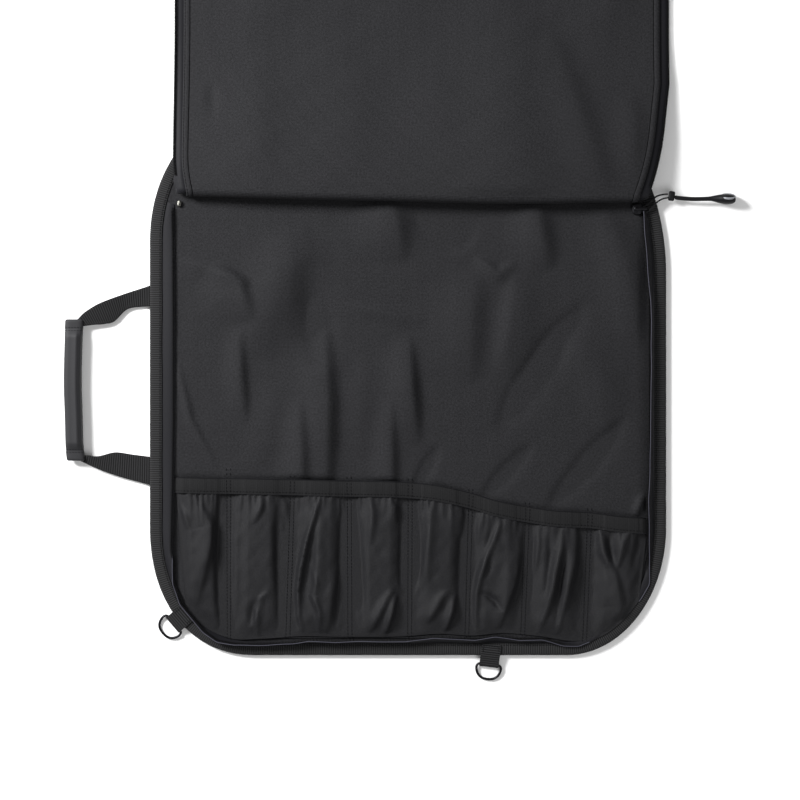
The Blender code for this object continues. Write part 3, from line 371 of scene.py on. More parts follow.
class CaseSizes(bpy.types.PropertyGroup):
    """Sizes of the case's finer detail."""

    rib_pitch: length_setting("Rib spacing", "Distance between the edge tape's ribs", 0.0021)
    rib_depth: length_setting("Rib depth", "How deep the edge tape's ribs are", 0.0004)
    stitch_pitch: length_setting("Stitch spacing", "Distance from stitch to stitch", 0.0031)
    stitch_length: length_setting("Stitch length", "Length of thread that shows", 0.0023)
    thread_width: length_setting("Thread width", "Thickness of the sewing thread", 0.00062)
    coil_pitch: length_setting("Coil spacing", "Distance between the zip coil's turns", 0.0014)
    coil_wire: length_setting("Coil thickness", "Thickness of the zip coil's own wire", 0.0007)
    fold_height: FloatProperty(
        name="Fold height", description="Height of the cloth's folds as a share of the usual", default=1.0,
        subtype="FACTOR", soft_min=0.0, soft_max=2.0
    )


class CaseColours(bpy.types.PropertyGroup):
    """Colours of the case's finishes."""

    cloth: colour_setting("Cloth", "Nylon of the panels", "#1f1f21")
    pocket_cloth: colour_setting("Pocket cloth", "Lighter nylon of the pockets", "#18181a")
    tape: colour_setting("Edge tape", "Ribbed tape round the edge", "#1e1e1f")
    hem_tape: colour_setting("Hem ribbon", "Ribbon over the pockets' mouths", "#181819")
    # A painted highlight: the pale colour of the cords along the zip tape's free edge and the ribbon's lower
    # edge.
    selvedge: colour_setting("Zip tape's edge", "Pale thread along the zip tape's free edge", "#3b3b45")
    zip_tape: colour_setting("Zip tape", "Smooth woven tape of the zip", "#101014")
    webbing: colour_setting("Webbing", "The handle's strap and the rings' tabs", "#1e1e1f")
    grip: colour_setting("Grip cover", "Cover of the handle's grip", "#262628")
    thread: colour_setting("Thread", "Sewing thread", "#121214")
    coil: colour_setting("Coil", "The zip's nylon coil", "#0d0d0e")
    dark_metal: colour_setting("Dark metal", "Rings and slider", "#222224")
    bright_metal: colour_setting("Bright metal", "The zip's end stop", "#6a6964")
    moulding: colour_setting("Moulding", "The pull's cord, sleeve and bead", "#101012")
    pale_plastic: colour_setting("Pale plastic", "The pull's disc", "#7b7d82")
    floor: colour_setting("Floor", "Paper that the case lies on", "#f7f7f7")


def add_node(tree, kind, inputs=None, **settings):
    """A node with its settings. Each input is a plain value or another node's output to link."""
    made = tree.nodes.new(kind)
    for key, value in settings.items():
        setattr(made, key, value)
    for key, value in (inputs or {}).items():
        if isinstance(value, bpy.types.NodeSocket):
            tree.links.new(value, made.inputs[key])
        else:
            made.inputs[key].default_value = value
    return made


def unit(vectors):
    return vectors / np.maximum(np.linalg.norm(vectors, axis=-1, keepdims=True), 1e-12)


def fuller(wave, fullness):
    """A sine or cosine pushed outwards, for outlines between an oval and an oblong."""
    return np.sign(wave) * np.abs(wave) ** (2 / fullness)


def evened(values, reach):
    """A row of values, each averaged with its neighbours as far as reach."""
    kernel = np.hanning(2 * reach + 1)
    return np.convolve(np.pad(values, reach, mode="edge"), kernel / kernel.sum(), mode="valid")


def reach_of(line):
    """Length of a line of points."""
    return float(np.linalg.norm(np.diff(line, axis=0), axis=1).sum())


def at_height(flat, height):
    return np.column_stack([flat, np.full(len(flat), height)])


def rib_wave(count, per_rib=POINTS_PER_RIB):
    """0 on each rib and -1 between two, for a row of mesh points."""
    return 0.5 * (np.cos(np.arange(count) / per_rib * 2 * math.pi) - 1.0)


def heading(degrees):
    """The level way that this heading gives, and the way to its left."""
    turn = math.radians(degrees)
    return np.array([math.cos(turn), math.sin(turn)]), np.array([-math.sin(turn), math.cos(turn)])


def smooth(value):
    """0 below 0, 1 above 1, and an even ease between."""
    value = np.clip(value, 0.0, 1.0)
    return value * value * (3.0 - 2.0 * value)


def table_curve(table, column=1):
    """A smooth curve through a table's rows, as a function of its first column."""
    xs = np.array([row[0] for row in table], float)
    ys = np.array([row[column] for row in table], float)
    slopes = np.gradient(ys, xs)

    def curve(x):
        x = np.clip(x, xs[0], xs[-1])
        i = np.clip(np.searchsorted(xs, x, side="right") - 1, 0, len(xs) - 2)
        width = xs[i + 1] - xs[i]
        t = (x - xs[i]) / width
        rise = smooth(t)
        ends = ys[i] * (1.0 - rise) + ys[i + 1] * rise
        return ends + width * t * (1.0 - t) * (slopes[i] * (1.0 - t) - slopes[i + 1] * t)

    return curve


def from_plan(points):
    """Places on the plan as X and Y in metres."""
    points = np.asarray(points, float)
    x = (points[..., 0] - PLAN_MIDDLE[0]) * PLAN_UNIT
    return np.stack([x, (PLAN_MIDDLE[1] - points[..., 1]) * PLAN_UNIT], axis=-1)


def to_plan(x, y):
    """X and Y in metres as places on the plan."""
    return PLAN_MIDDLE[0] + x / PLAN_UNIT, PLAN_MIDDLE[1] - y / PLAN_UNIT


def relief(x, y, folds):
    """Height in metres that a table of soft folds adds at each point."""
    across, down = to_plan(np.asarray(x, float), np.asarray(y, float))
    height = np.zeros(np.broadcast(across, down).shape)
    for rise, left, right, line in folds:
        line = np.array(line, float)
        lengths = np.linalg.norm(np.diff(line, axis=0), axis=1)
        nearest = np.full(height.shape, np.inf)
        side = np.zeros(height.shape)
        along = np.zeros(height.shape)
        before = 0.0
        for start, end, length in zip(line, line[1:], lengths):
            run_x, run_y = (end - start) / length
            off_x, off_y = across - start[0], down - start[1]
            reached = np.clip(off_x * run_x + off_y * run_y, 0.0, length)
            off = np.hypot(off_x - reached * run_x, off_y - reached * run_y)
            closer = off < nearest
            nearest = np.where(closer, off, nearest)
            side = np.where(closer, run_y * off_x - run_x * off_y, side)
            along = np.where(closer, (before + reached) / lengths.sum(), along)
            before += length
        width = np.where(side < 0, left, right)
        ends = np.sin(math.pi * along)
        width = width * (0.35 + 0.65 * np.sqrt(np.maximum(ends, 0.0)))
        height += rise * ends * np.exp(-((nearest / width) ** 2))
    return 0.001 * height * bpy.context.scene.case_sizes.fold_height


def ripple(x, y, seed, shortest, longest, waves=12):
    """A soft unevenness between about -1 and 1, the same each run."""
    random = np.random.default_rng(seed)
    total = 0.0
    for _ in range(waves):
        turn = random.uniform(0.0, math.pi)
        length = random.uniform(shortest, longest)
        phase = random.uniform(0.0, 2.0 * math.pi)
        total = total + np.sin((x * math.cos(turn) + y * math.sin(turn)) * 2.0 * math.pi / length + phase)
    return total / math.sqrt(2.0 * waves)


@functools.lru_cache(maxsize=None)
def case_outline():
    """The case's outline, anticlockwise from its right side, and the way out at each point."""
    points = []
    for number, (side_x, side_y, share_x, share_y, fullness) in enumerate(CORNERS):
        radius_x, radius_y = share_x * CASE_WIDTH, share_y * CASE_LENGTH
        angles = np.linspace(0.0, math.pi / 2, 97)
        if number % 2:
            angles = angles[::-1]
        x = side_x * (CASE_WIDTH / 2 - radius_x + radius_x * fuller(np.cos(angles), fullness))
        y = side_y * (CASE_LENGTH / 2 - radius_y + radius_y * fuller(np.sin(angles), fullness))
        points.extend(np.stack([x, y], axis=1))
    points = spaced(np.array(points), OUTLINE_STEP, closed=True)
    return points, way_out(points)


def way_out(points):
    """The level way out from each point of a closed line that runs anticlockwise."""
    along = unit(np.roll(points, -1, axis=0) - np.roll(points, 1, axis=0))
    return np.stack([along[:, 1], -along[:, 0]], axis=1)


def spaced(points, spacing, closed=False, steps=None):
    """The same line with its points at even distances."""
    points = np.asarray(points, float)
    if closed:
        points = np.concatenate([points, points[:1]])
    length = np.concatenate([[0.0], np.cumsum(np.linalg.norm(np.diff(points, axis=0), axis=1))])
    steps = steps or max(2, round(length[-1] / spacing))
    wanted = np.linspace(0.0, length[-1], steps + 1)
    if closed:
        wanted = wanted[:-1]
    return np.stack([np.interp(wanted, length, points[:, i]) for i in range(points.shape[1])], axis=1)


@functools.lru_cache(maxsize=None)
def side_tables(inset):
    """For each side of the case, moved in by inset, its points' y and x in order of y."""
    points, outward = case_outline()
    points = points - outward * inset
    found = []
    for side in (-1, 1):
        chosen = points[points[:, 0] * side > 0]
        level = np.round(chosen[:, 1], 5)
        order = np.lexsort((side * chosen[:, 0], level))
        level = level[order]
        outermost = np.append(level[1:] != level[:-1], True)
        found.append((level[outermost], chosen[order, 0][outermost]))
    return found


def sides_at(y, inset):
    """The case's left and right edges at this y, moved in by inset."""
    return [np.interp(y, level, x) for level, x in side_tables(inset)]


def fold_nearness(x):
    """How far nearer the cook the fold lies at this x than at its ends."""
    return table_curve(FOLD_LINE)(x / CASE_WIDTH + 0.5) * FOLD_FROM_FAR_EDGE


def lid_height(past_fold):
    """How high the front's inner face lies this far beyond the fold."""
    top = POUCH_HEIGHT + 2 * FOLD_RADIUS
    rest = FRONT_THICKNESS / 2
    return rest + (top - rest) * (1.0 - smooth(past_fold / LID_FALL))


def folded(x, y, lift=0.0):
    """Where a point of the front's flat pattern lies once folded, lifted off its inner face."""
    x = np.asarray(x, float)
    y = np.asarray(y, float)
    flat_run = STRIP_RUN + fold_nearness(x)
    from_far_edge = CASE_LENGTH / 2 - y
    inwards = np.clip((CASE_WIDTH / 2 - np.abs(x)) / (SIDE_DROP * CASE_WIDTH), 0.0, 1.0)
    sides = 1.0 - smooth(inwards)

    def middle(distance):
        past = distance - flat_run
        turn = np.clip(past / FOLD_RADIUS, 0.0, math.pi)
        rising = smooth(distance / flat_run)
        from_edge = np.minimum(distance, CASE_WIDTH / 2 - np.abs(x))
        step = SEAM_STEP * smooth((from_edge - FRONT_TAPE_INSET) / SEAM_STEP_WIDTH)
        crown = POUCH_HEIGHT - SEWN_EDGE_HEIGHT - SEAM_STEP
        low = SEWN_EDGE_HEIGHT + step + crown * rising * (1.0 - sides)
        beyond = np.maximum(past - HALF_TURN, 0.0)
        at_lid = smooth(beyond / LID_FALL)
        strip_y = CASE_LENGTH / 2 - np.minimum(distance, flat_run)
        place_y = strip_y - FOLD_RADIUS * np.sin(turn) + beyond
        strip_z = low + FOLD_RADIUS * (1.0 - np.cos(turn))
        lid_z = lid_height(beyond) - (POUCH_HEIGHT - low) * (1.0 - at_lid)
        return place_y, np.where(beyond > 0, lid_z, strip_z)

    nudge = 0.0004
    ahead_y, ahead_z = middle(from_far_edge + nudge)
    behind_y, behind_z = middle(from_far_edge - nudge)
    along_y, along_z = ahead_y - behind_y, ahead_z - behind_z
    length = np.hypot(along_y, along_z)
    place_y, place_z = middle(from_far_edge)
    place_y = place_y - lift * along_z / length
    place_z = place_z + lift * along_y / length
    past_turn = from_far_edge - flat_run - HALF_TURN
    turned = smooth((from_far_edge - flat_run + HALF_TURN) / (2 * HALF_TURN))
    share = x / CASE_WIDTH + 0.5
    right_shift = LID_SHIFT * np.clip(past_turn / LID_SPREAD, 0.0, 1.0)
    shift = turned * (LID_SHIFT * (1.0 - share) + right_shift * share)
    return np.stack(np.broadcast_arrays(x + shift, place_y, place_z), axis=-1)


def on_lid(x, y, lift):
    """As folded, with the lid's soft folds added where the front lies open."""
    place = folded(x, y, lift)
    past = CASE_LENGTH / 2 - y - STRIP_RUN - fold_nearness(x) - 0.75 * HALF_TURN
    from_side = CASE_WIDTH / 2 - np.abs(x) - FRONT_TAPE_INSET
    share = smooth(past / 0.012) * smooth(from_side / 0.03) * smooth((y + CASE_LENGTH / 2 - 0.01) / 0.04)
    rise = FOLD_GAIN["lid"] * relief(place[..., 0], place[..., 1], LID_FOLDS)
    rise = rise + 0.00035 * np.maximum(1.0 + ripple(place[..., 0], place[..., 1], 5, 0.03, 0.11), 0.0)
    return folded(x, y, lift + share * rise)


def made(name, points, quads, finish, uv=None, caps=()):
    """A smooth closed mesh from arrays, facing out, with its flat pattern in metres as the UV map."""
    points = np.asarray(points, float)
    quads = np.asarray(quads)
    if uv is None:
        uv = points[:, :2][quads]
    a, b, c, d = (points[quads[:, i]] for i in range(4))
    volume = np.einsum("ij,ij->", a, np.cross(b, c) + np.cross(c, d))
    for cap in caps:
        fan = points[np.asarray(cap)]
        volume += np.einsum("j,ij->", fan[0], np.cross(fan[1:-1], fan[2:]))
    if volume < 0:
        quads, uv = quads[:, ::-1], uv[:, ::-1]
        caps = [list(cap)[::-1] for cap in caps]
    mesh = bpy.data.meshes.new(name)
    mesh.from_pydata(points.tolist(), [], quads.tolist() + [list(cap) for cap in caps])
    layer = mesh.uv_layers.new(name="flat")
    corners = [uv.reshape(-1, 2)] + [points[np.asarray(cap)][:, :2] for cap in caps]
    layer.data.foreach_set("uv", np.concatenate(corners).astype(np.float32).ravel())
    mesh.materials.append(finish)
    mesh.shade_smooth()
    mesh.set_sharp_from_angle(angle=math.radians(60))
    obj = bpy.data.objects.new(name, mesh)
    bpy.context.scene.collection.objects.link(obj)
    return obj


def swept(name, rings, finish, closed=False, uv=None, step=None):
    """A solid through rings of points, capped at its ends or closed into a loop.

    step sets the flat pattern's distance from ring to ring.
    """
    rings = np.asarray(rings, float)
    rows, columns = rings.shape[:2]
    row = np.arange(rows if closed else rows - 1)[:, None]
    column = np.arange(columns)[None, :]
    after, beside = (row + 1) % rows, (column + 1) % columns
    here, there = row * columns, after * columns
    corners = [here + column, here + beside, there + beside, there + column]
    quads = np.stack(np.broadcast_arrays(*corners), axis=-1).reshape(-1, 4)
    caps = ()
    if not closed:
        caps = (list(range(columns))[::-1], [(rows - 1) * columns + i for i in range(columns)])
    if uv is None:
        steps = np.linalg.norm(np.roll(rings, -1, axis=0) - rings, axis=2).mean(axis=1)
        if step:
            steps[:] = step
        u = np.concatenate([[0.0], np.cumsum(steps)])
        around = np.linalg.norm(np.roll(rings, -1, axis=1) - rings, axis=2).mean(axis=0)
        v = np.concatenate([[0.0], np.cumsum(around)])
        spots = [(row, column), (row, column + 1), (row + 1, column + 1), (row + 1, column)]
        pairs = [np.stack(np.broadcast_arrays(u[i], v[j]), axis=-1) for i, j in spots]
        uv = np.stack(pairs, axis=-2).reshape(-1, 4, 2)
    elif uv.ndim == 2:
        uv = uv[quads]
    return made(name, rings.reshape(-1, 3), quads, finish, uv, caps)


def cloth(name, grid, thickness, finish, uv=None):
    """A closed cloth about a grid of points, half its thickness to each side."""
    rows, columns = grid.shape[:2]
    normal = unit(np.cross(np.gradient(grid, axis=1), np.gradient(grid, axis=0)))
    points = np.concatenate([(grid + normal * thickness / 2).reshape(-1, 3),
                             (grid - normal * thickness / 2).reshape(-1, 3)])
    row = np.arange(rows - 1)[:, None]
    column = np.arange(columns - 1)[None, :]
    corner = row * columns + column
    top = np.stack([corner, corner + 1, corner + columns + 1, corner + columns], axis=-1).reshape(-1, 4)
    under = top[:, ::-1] + rows * columns
    last = (rows - 1) * columns
    rim = np.concatenate([
        np.arange(columns - 1), np.arange(rows - 1) * columns + columns - 1,
        last + np.arange(columns - 1, 0, -1), np.arange(rows - 1, 0, -1) * columns,
    ])
    ahead = np.roll(rim, -1)
    wall = np.stack([ahead, rim, rim + rows * columns, ahead + rows * columns], axis=-1)
    quads = np.concatenate([top, under, wall])
    flat = (grid[..., :2] if uv is None else uv).reshape(-1, 2)
    return made(name, points, quads, finish, np.concatenate([flat, flat])[quads])


def rings_along(points, section, closed=False):
    """Rings of a section, given as side and rise, along a line of points that runs mostly level."""
    points = np.asarray(points, float)
    if closed:
        along = np.roll(points, -1, axis=0) - np.roll(points, 1, axis=0)
    else:
        along = np.gradient(points, axis=0)
    along = unit(along)
    side = unit(np.cross(along, (0.0, 0.0, 1.0)))
    rise = np.cross(side, along)
    section = np.asarray(section, float)
    return points[:, None] + side[:, None] * section[None, :, :1] + rise[:, None] * section[None, :, 1:]


def circle(radius, sides):
    angles = np.linspace(0.0, 2 * math.pi, sides, endpoint=False)
    return radius * np.stack([np.cos(angles), np.sin(angles)], axis=1)


def repeated(name, lines, spacing, finish, stitch=None, ring=None):
    """Stitches or rings at an even spacing along lines, placed by a node tree and kept as one plain mesh."""
    mesh = bpy.data.meshes.new(name)
    edges, start = [], 0
    for line in lines:
        edges += [(start + i, start + i + 1) for i in range(len(line) - 1)]
        start += len(line)
    mesh.from_pydata(np.concatenate(lines).tolist(), edges, [])
    obj = bpy.data.objects.new(name, mesh)
    bpy.context.scene.collection.objects.link(obj)
    tree = bpy.data.node_groups.new(name, "GeometryNodeTree")
    tree.interface.new_socket("Lines", in_out="INPUT", socket_type="NodeSocketGeometry")
    names = dict(zip(("Spacing", "Length", "Thickness"), (spacing, *(stitch or ring))))
    sockets = {
        key: tree.interface.new_socket(key, in_out="INPUT", socket_type="NodeSocketFloat") for key in names
    }
    tree.interface.new_socket("Pieces", in_out="OUTPUT", socket_type="NodeSocketGeometry")
    given = add_node(tree, "NodeGroupInput").outputs
    curve = add_node(tree, "GeometryNodeMeshToCurve", {"Mesh": given["Lines"]})
    dots = add_node(
        tree, "GeometryNodeCurveToPoints", {"Curve": curve.outputs[0], "Length": given["Spacing"]},
        mode="LENGTH",
    )
    if stitch:
        ball = add_node(tree, "GeometryNodeMeshUVSphere", {"Segments": 6, "Rings": 4, "Radius": 0.5})
        size = add_node(
            tree, "ShaderNodeCombineXYZ",
            {"X": given["Thickness"], "Y": given["Thickness"], "Z": given["Length"]},
        )
        item = add_node(
            tree, "GeometryNodeTransform", {"Geometry": ball.outputs[0], "Scale": size.outputs[0]}
        )
    else:
        loop = add_node(
            tree, "GeometryNodeCurvePrimitiveCircle", {"Resolution": 10, "Radius": given["Length"]}
        )
        wire = add_node(
            tree, "GeometryNodeCurvePrimitiveCircle", {"Resolution": 5, "Radius": given["Thickness"]}
        )
        item = add_node(
            tree, "GeometryNodeCurveToMesh", {"Curve": loop.outputs[0], "Profile Curve": wire.outputs[0]}
        )
    placed = add_node(
        tree, "GeometryNodeInstanceOnPoints",
        {"Points": dots.outputs["Points"], "Instance": item.outputs[0],
         "Rotation": dots.outputs["Rotation"]},
    )
    real = add_node(tree, "GeometryNodeRealizeInstances", {"Geometry": placed.outputs[0]})
    painted = add_node(
        tree, "GeometryNodeSetMaterial", {"Geometry": real.outputs[0], "Material": finish}
    )
    add_node(tree, "NodeGroupOutput", {0: painted.outputs[0]})
    modifier = obj.modifiers.new("repeat", "NODES")
    modifier.node_group = tree
    for key, value in names.items():
        modifier[sockets[key].identifier] = value
    bpy.context.view_layer.update()
    graph = bpy.context.evaluated_depsgraph_get()
    plain = bpy.data.meshes.new_from_object(obj.evaluated_get(graph))
    obj.modifiers.clear()
    obj.data = plain
    obj.data.name = name
    obj.data.shade_smooth()
    return obj


def start_finish(name, colour, roughness, specular=0.5, metallic=0.0):
    """A new material and its shader, with what is even all over set on its own sockets."""
    made_finish = bpy.data.materials.new(name)
    made_finish.use_nodes = True
    shader = made_finish.node_tree.nodes["Principled BSDF"]
    shader.inputs["Base Color"].default_value = (*colour, 1.0)
    shader.inputs["Roughness"].default_value = roughness
    shader.inputs["Specular IOR Level"].default_value = specular
    shader.inputs["Metallic"].default_value = metallic
    return made_finish, made_finish.node_tree, shader


def uneven_colour(tree, shader, colour, place, scale, spread):
    """Mottles a colour with a soft noise, darker and lighter by the same share."""
    noise = add_node(tree, "ShaderNodeTexNoise", {"Vector": place, "Scale": scale, "Detail": 4.0})
    ramp = add_node(
        tree, "ShaderNodeMapRange", {"Value": noise.outputs["Fac"], "From Min": 0.3, "From Max": 0.7}
    )
    mix = add_node(
        tree, "ShaderNodeMix",
        {0: ramp.outputs[0], 6: (*(c * (1 - spread) for c in colour), 1.0),
         7: (*(c * (1 + spread) for c in colour), 1.0)},
        data_type="RGBA",
    )
    tree.links.new(mix.outputs[2], shader.inputs["Base Color"])
    return noise


def woven(name, colour, thread, depth, roughness, specular, sheen, spread=0.22, ribs=False):
    """Woven cloth: threads over and under each other on the piece's flat pattern, with slightly uneven dye.
    Ribbed cloth has painted shade between the ribs that its mesh has and painted light on them."""
    finish, tree, shader = start_finish(name, colour, roughness, specular)
    shader.inputs["Sheen Weight"].default_value = sheen
    shader.inputs["Sheen Roughness"].default_value = 0.45
    flat = add_node(tree, "ShaderNodeUVMap", uv_map="flat").outputs[0]
    uneven_colour(tree, shader, colour, flat, 0.55 / thread, spread)
    # Painted shade and light: the colour is scaled from 0.05 between the ribs to 1.65 on them.
    if ribs:
        pitch = bpy.context.scene.case_sizes.rib_pitch
        wave = add_node(
            tree, "ShaderNodeTexWave",
            {"Vector": flat, "Scale": WAVE_RATE / pitch, "Phase Offset": math.pi}, bands_direction="X",
        )
        shade = add_node(
            tree, "ShaderNodeMapRange", {"Value": wave.outputs["Fac"], "To Min": 0.05, "To Max": 1.65}
        )
        dyed = shader.inputs["Base Color"].links[0].from_socket
        groove_shade = add_node(
            tree, "ShaderNodeVectorMath", {0: dyed, "Scale": shade.outputs[0]}, operation="SCALE"
        )
        tree.links.new(groove_shade.outputs[0], shader.inputs["Base Color"])
    bands = [
        add_node(
            tree, "ShaderNodeTexWave",
            {"Vector": flat, "Scale": WAVE_RATE / thread, "Distortion": 0.35, "Detail": 1.0,
             "Detail Scale": 0.6},
            bands_direction=way,
        )
        for way in ("X", "Y")
    ]
    height = add_node(
        tree, "ShaderNodeMath",
        {0: bands[0].outputs["Fac"], 1: bands[1].outputs["Fac"]},
        operation="MULTIPLY",
    )
    soft = add_node(tree, "ShaderNodeTexNoise", {"Vector": flat, "Scale": 1.0 / thread, "Detail": 2.0})
    total = add_node(
        tree, "ShaderNodeMath", {0: soft.outputs["Fac"], 1: 0.8, 2: height.outputs[0]},
        operation="MULTIPLY_ADD",
    )
    bump = add_node(
        tree, "ShaderNodeBump", {"Height": total.outputs[0], "Distance": depth, "Strength": 0.8}
    )
    tree.links.new(bump.outputs[0], shader.inputs["Normal"])
    return finish


def plain(name, colour, roughness, specular=0.5, metallic=0.0, grain=0.0006, depth=0.00003, spread=0.1):
    """Moulded or metal surfaces: a fine grain in the surface and a slightly uneven shine."""
    finish, tree, shader = start_finish(name, colour, roughness, specular, metallic)
    place = add_node(tree, "ShaderNodeTexCoord").outputs["Object"]
    noise = uneven_colour(tree, shader, colour, place, 1.0 / grain, spread)
    shine = add_node(
        tree, "ShaderNodeMapRange",
        {"Value": noise.outputs["Fac"], "To Min": roughness * 0.85, "To Max": min(1.0, roughness * 1.2)},
    )
    tree.links.new(shine.outputs[0], shader.inputs["Roughness"])
    bump = add_node(
        tree, "ShaderNodeBump", {"Height": noise.outputs["Fac"], "Distance": depth, "Strength": 0.6}
    )
    tree.links.new(bump.outputs[0], shader.inputs["Normal"])
    return finish


WOVEN = {
    # title, colour, distance between threads, their depth, roughness, specular level, sheen, unevenness of
    # dye, and True where it is ribbed, with painted shade between the ribs and painted light on them
    # Plain-woven nylon, dyed black. Real threads are about 0.4 mm apart, drawn at 1 mm so that they show.
    "cloth": ("plain-woven nylon", "cloth", 0.0010, 0.00028, 0.66, 0.11, 0.02, 0.36),
    # The same nylon in a lighter weight, with more shine on its folds.
    "pocket cloth": ("light plain-woven nylon", "pocket_cloth", 0.0010, 0.00020, 0.54, 0.14, 0.02, 0.3),
    # Grosgrain: thick threads across it, made as ribs in the mesh with painted shade between them, and fine
    # ones along it.
    "tape": ("grosgrain edge tape", "tape", 0.0009, 0.00012, 0.78, 0.22, 0.04, 0.1, True),
    # The same grosgrain in a closer, duller weave for the pockets' ribbon, whose ribs hardly show.
    "hem": ("grosgrain hem ribbon", "hem_tape", 0.0009, 0.00016, 0.8, 0.12, 0.03, 0.16),
    # Close-woven polyester tape, smoother than the cloth, which catches a soft even light.
    "zip tape": ("woven polyester zip tape", "zip_tape", 0.0008, 0.00008, 0.60, 0.14, 0.03, 0.1),
    # Ribbed nylon webbing. Its ribs are in the mesh, with painted shade between them, and the weave breaks up
    # the face between them.
    "webbing": ("ribbed nylon webbing", "webbing", 0.0010, 0.00014, 0.80, 0.14, 0.04, 0.1, True),
    # Smooth coated nylon stretched over foam, with a satin line of light along its crown.
    "grip": ("coated nylon grip cover", "grip", 0.0008, 0.00006, 0.55, 0.16, 0.02, 0.06),
}
PLAIN = {
    # title, colour, roughness, specular level, metallic, size of its grain, the grain's depth and its
    # unevenness
    # Pale colour for the thin cords along the zip tape's free edge and the ribbon's lower edge: a painted
    # highlight where those edges catch the light.
    "selvedge": ("polyester selvedge thread", "selvedge", 0.6, 0.3),
    # Twisted polyester thread, dull, a little darker than the cloth.
    "thread": ("polyester sewing thread", "thread", 0.8, 0.08),
    # Nylon wire wound into a coil, satin.
    "coil": ("nylon zip coil", "coil", 0.6, 0.08),
    # Steel with a dark nickel plating, polished by tumbling, so its highlights are small and soft.
    "dark metal": ("dark nickel-plated steel", "dark_metal", 0.42, 0.5, 1.0, 0.0009),
    # Plain nickel-plated steel, stamped and left satin.
    "bright metal": ("bright nickel-plated steel", "bright_metal", 0.38, 0.5, 1.0, 0.0009),
    # Soft PVC, moulded, satin.
    "moulding": ("moulded soft PVC", "moulding", 0.5, 0.14),
    # Pale ABS, moulded and polished.
    "pale plastic": ("moulded pale ABS", "pale_plastic", 0.3, 0.5, 0.0, 0.0015, 0.00002, 0.03),
}


@functools.lru_cache(maxsize=None)
def finish_of(name):
    """The case's finishes, each made once."""
    make = woven if name in WOVEN else plain
    title, colour, *rest = {**WOVEN, **PLAIN}[name]
    return make(title, getattr(bpy.context.scene.case_colours, colour), *rest)


def finish_piece(obj, slot, *nodes):
    """Seats a piece on the case's body, in place of its plain solids."""
    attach(obj, "case")
    if nodes:
        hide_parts(*nodes)
    return obj


def make_pad():
    """The padded back: flat where it rests, soft at its edge, slightly uneven underneath."""
    outline, _ = case_outline()
    outline = spaced(outline, 0.0040, closed=True)
    outward = way_out(outline)
    inner = outline - outward * (BINDING_WIDTH + 0.0024)
    rings = []

    def ring(share, low, high):
        flat = inner * share
        uneven = 0.5 + 0.5 * ripple(flat[:, 0], flat[:, 1], 3, 0.05, 0.16)
        return np.column_stack([flat, low + (high - low) * np.clip(uneven, 0.0, 1.0)])

    shares = np.linspace(0.03, 1.0, 28)
    rings += [ring(share, 0.0, 0.0004 * (1.0 - share**8)) for share in shares]
    for inset, height in (
        (BINDING_WIDTH + 0.0016, 0.0003), (BINDING_WIDTH + 0.0009, 0.0010),
        (BINDING_WIDTH + 0.0004, 0.0014),
        (BINDING_THICKNESS + 0.0008, 0.0014), (BINDING_THICKNESS + 0.0003, 0.0019),
        (BINDING_THICKNESS + 0.0003, 0.0034), (BINDING_THICKNESS + 0.0008, PANEL_THICKNESS),
        (BINDING_WIDTH, PANEL_THICKNESS),
    ):
        rings.append(at_height(outline - outward * inset, height))
    rings += [ring(share, PANEL_THICKNESS - 0.0002, PANEL_THICKNESS) for share in shares[::-1]]
    rings = np.array(rings)
    pad = swept("back_pad", rings, finish_of("cloth"), uv=rings.reshape(-1, 3)[:, :2])
    finish_piece(pad, "cloth", "back_panel")


def make_binding():
    """Ribbed tape folded round the edge."""
    sizes = bpy.context.scene.case_sizes
    outline, _ = case_outline()
    ribs = round(len(outline) * OUTLINE_STEP / sizes.rib_pitch)
    outline = spaced(outline, 0.0, closed=True, steps=ribs * POINTS_PER_RIB)
    outward = way_out(outline)
    # Inset from the case's edge, height, and the way that ribs push the surface out, sideways and up.
    section = np.array([
        (0.0115, 0.0000, 0.0, 0.0), (0.0060, 0.0000, 0.0, 0.0), (0.0010, 0.0000, 0.0, 0.0),
        (0.0002, 0.0007, 1.0, 0.0), (0.0000, 0.0018, 1.0, 0.0), (0.0000, 0.0034, 1.0, 0.0),
        (0.0003, 0.0046, 0.7, 0.7), (0.0012, 0.0052, 0.2, 1.0), (0.0034, 0.0054, 0.0, 1.0),
        (0.0060, 0.0055, 0.0, 1.0), (0.0086, 0.0054, 0.0, 1.0), (0.0106, 0.0052, 0.0, 1.0),
        (0.0115, 0.0049, 0.0, 0.6), (0.0115, 0.0043, 0.0, 0.0), (0.0060, 0.0042, 0.0, 0.0),
        (0.0011, 0.0041, 0.0, 0.0), (0.0011, 0.0012, 0.0, 0.0), (0.0060, 0.0011, 0.0, 0.0),
        (0.0115, 0.0011, 0.0, 0.0),
    ])
    uneven = ripple(outline[:, 0], outline[:, 1], 8, 0.004, 0.02)
    depth = sizes.rib_depth * rib_wave(len(outline)) * (0.85 + 0.25 * uneven)
    sway = 0.0003 * ripple(outline[:, 0], outline[:, 1], 9, 0.02, 0.09)
    rings = np.zeros((len(outline), len(section), 3))
    for i, (inset, height, push_side, push_up) in enumerate(section):
        moved = inset + sway * (inset > 0.002) - depth * push_side
        rings[:, i, :2] = outline - outward * moved[:, None]
        rings[:, i, 2] = height + depth * push_up
    binding = swept("edge_binding", rings, finish_of("tape"), closed=True,
                    step=sizes.rib_pitch / POINTS_PER_RIB)
    finish_piece(binding, "ribbed_tape", "back_binding")


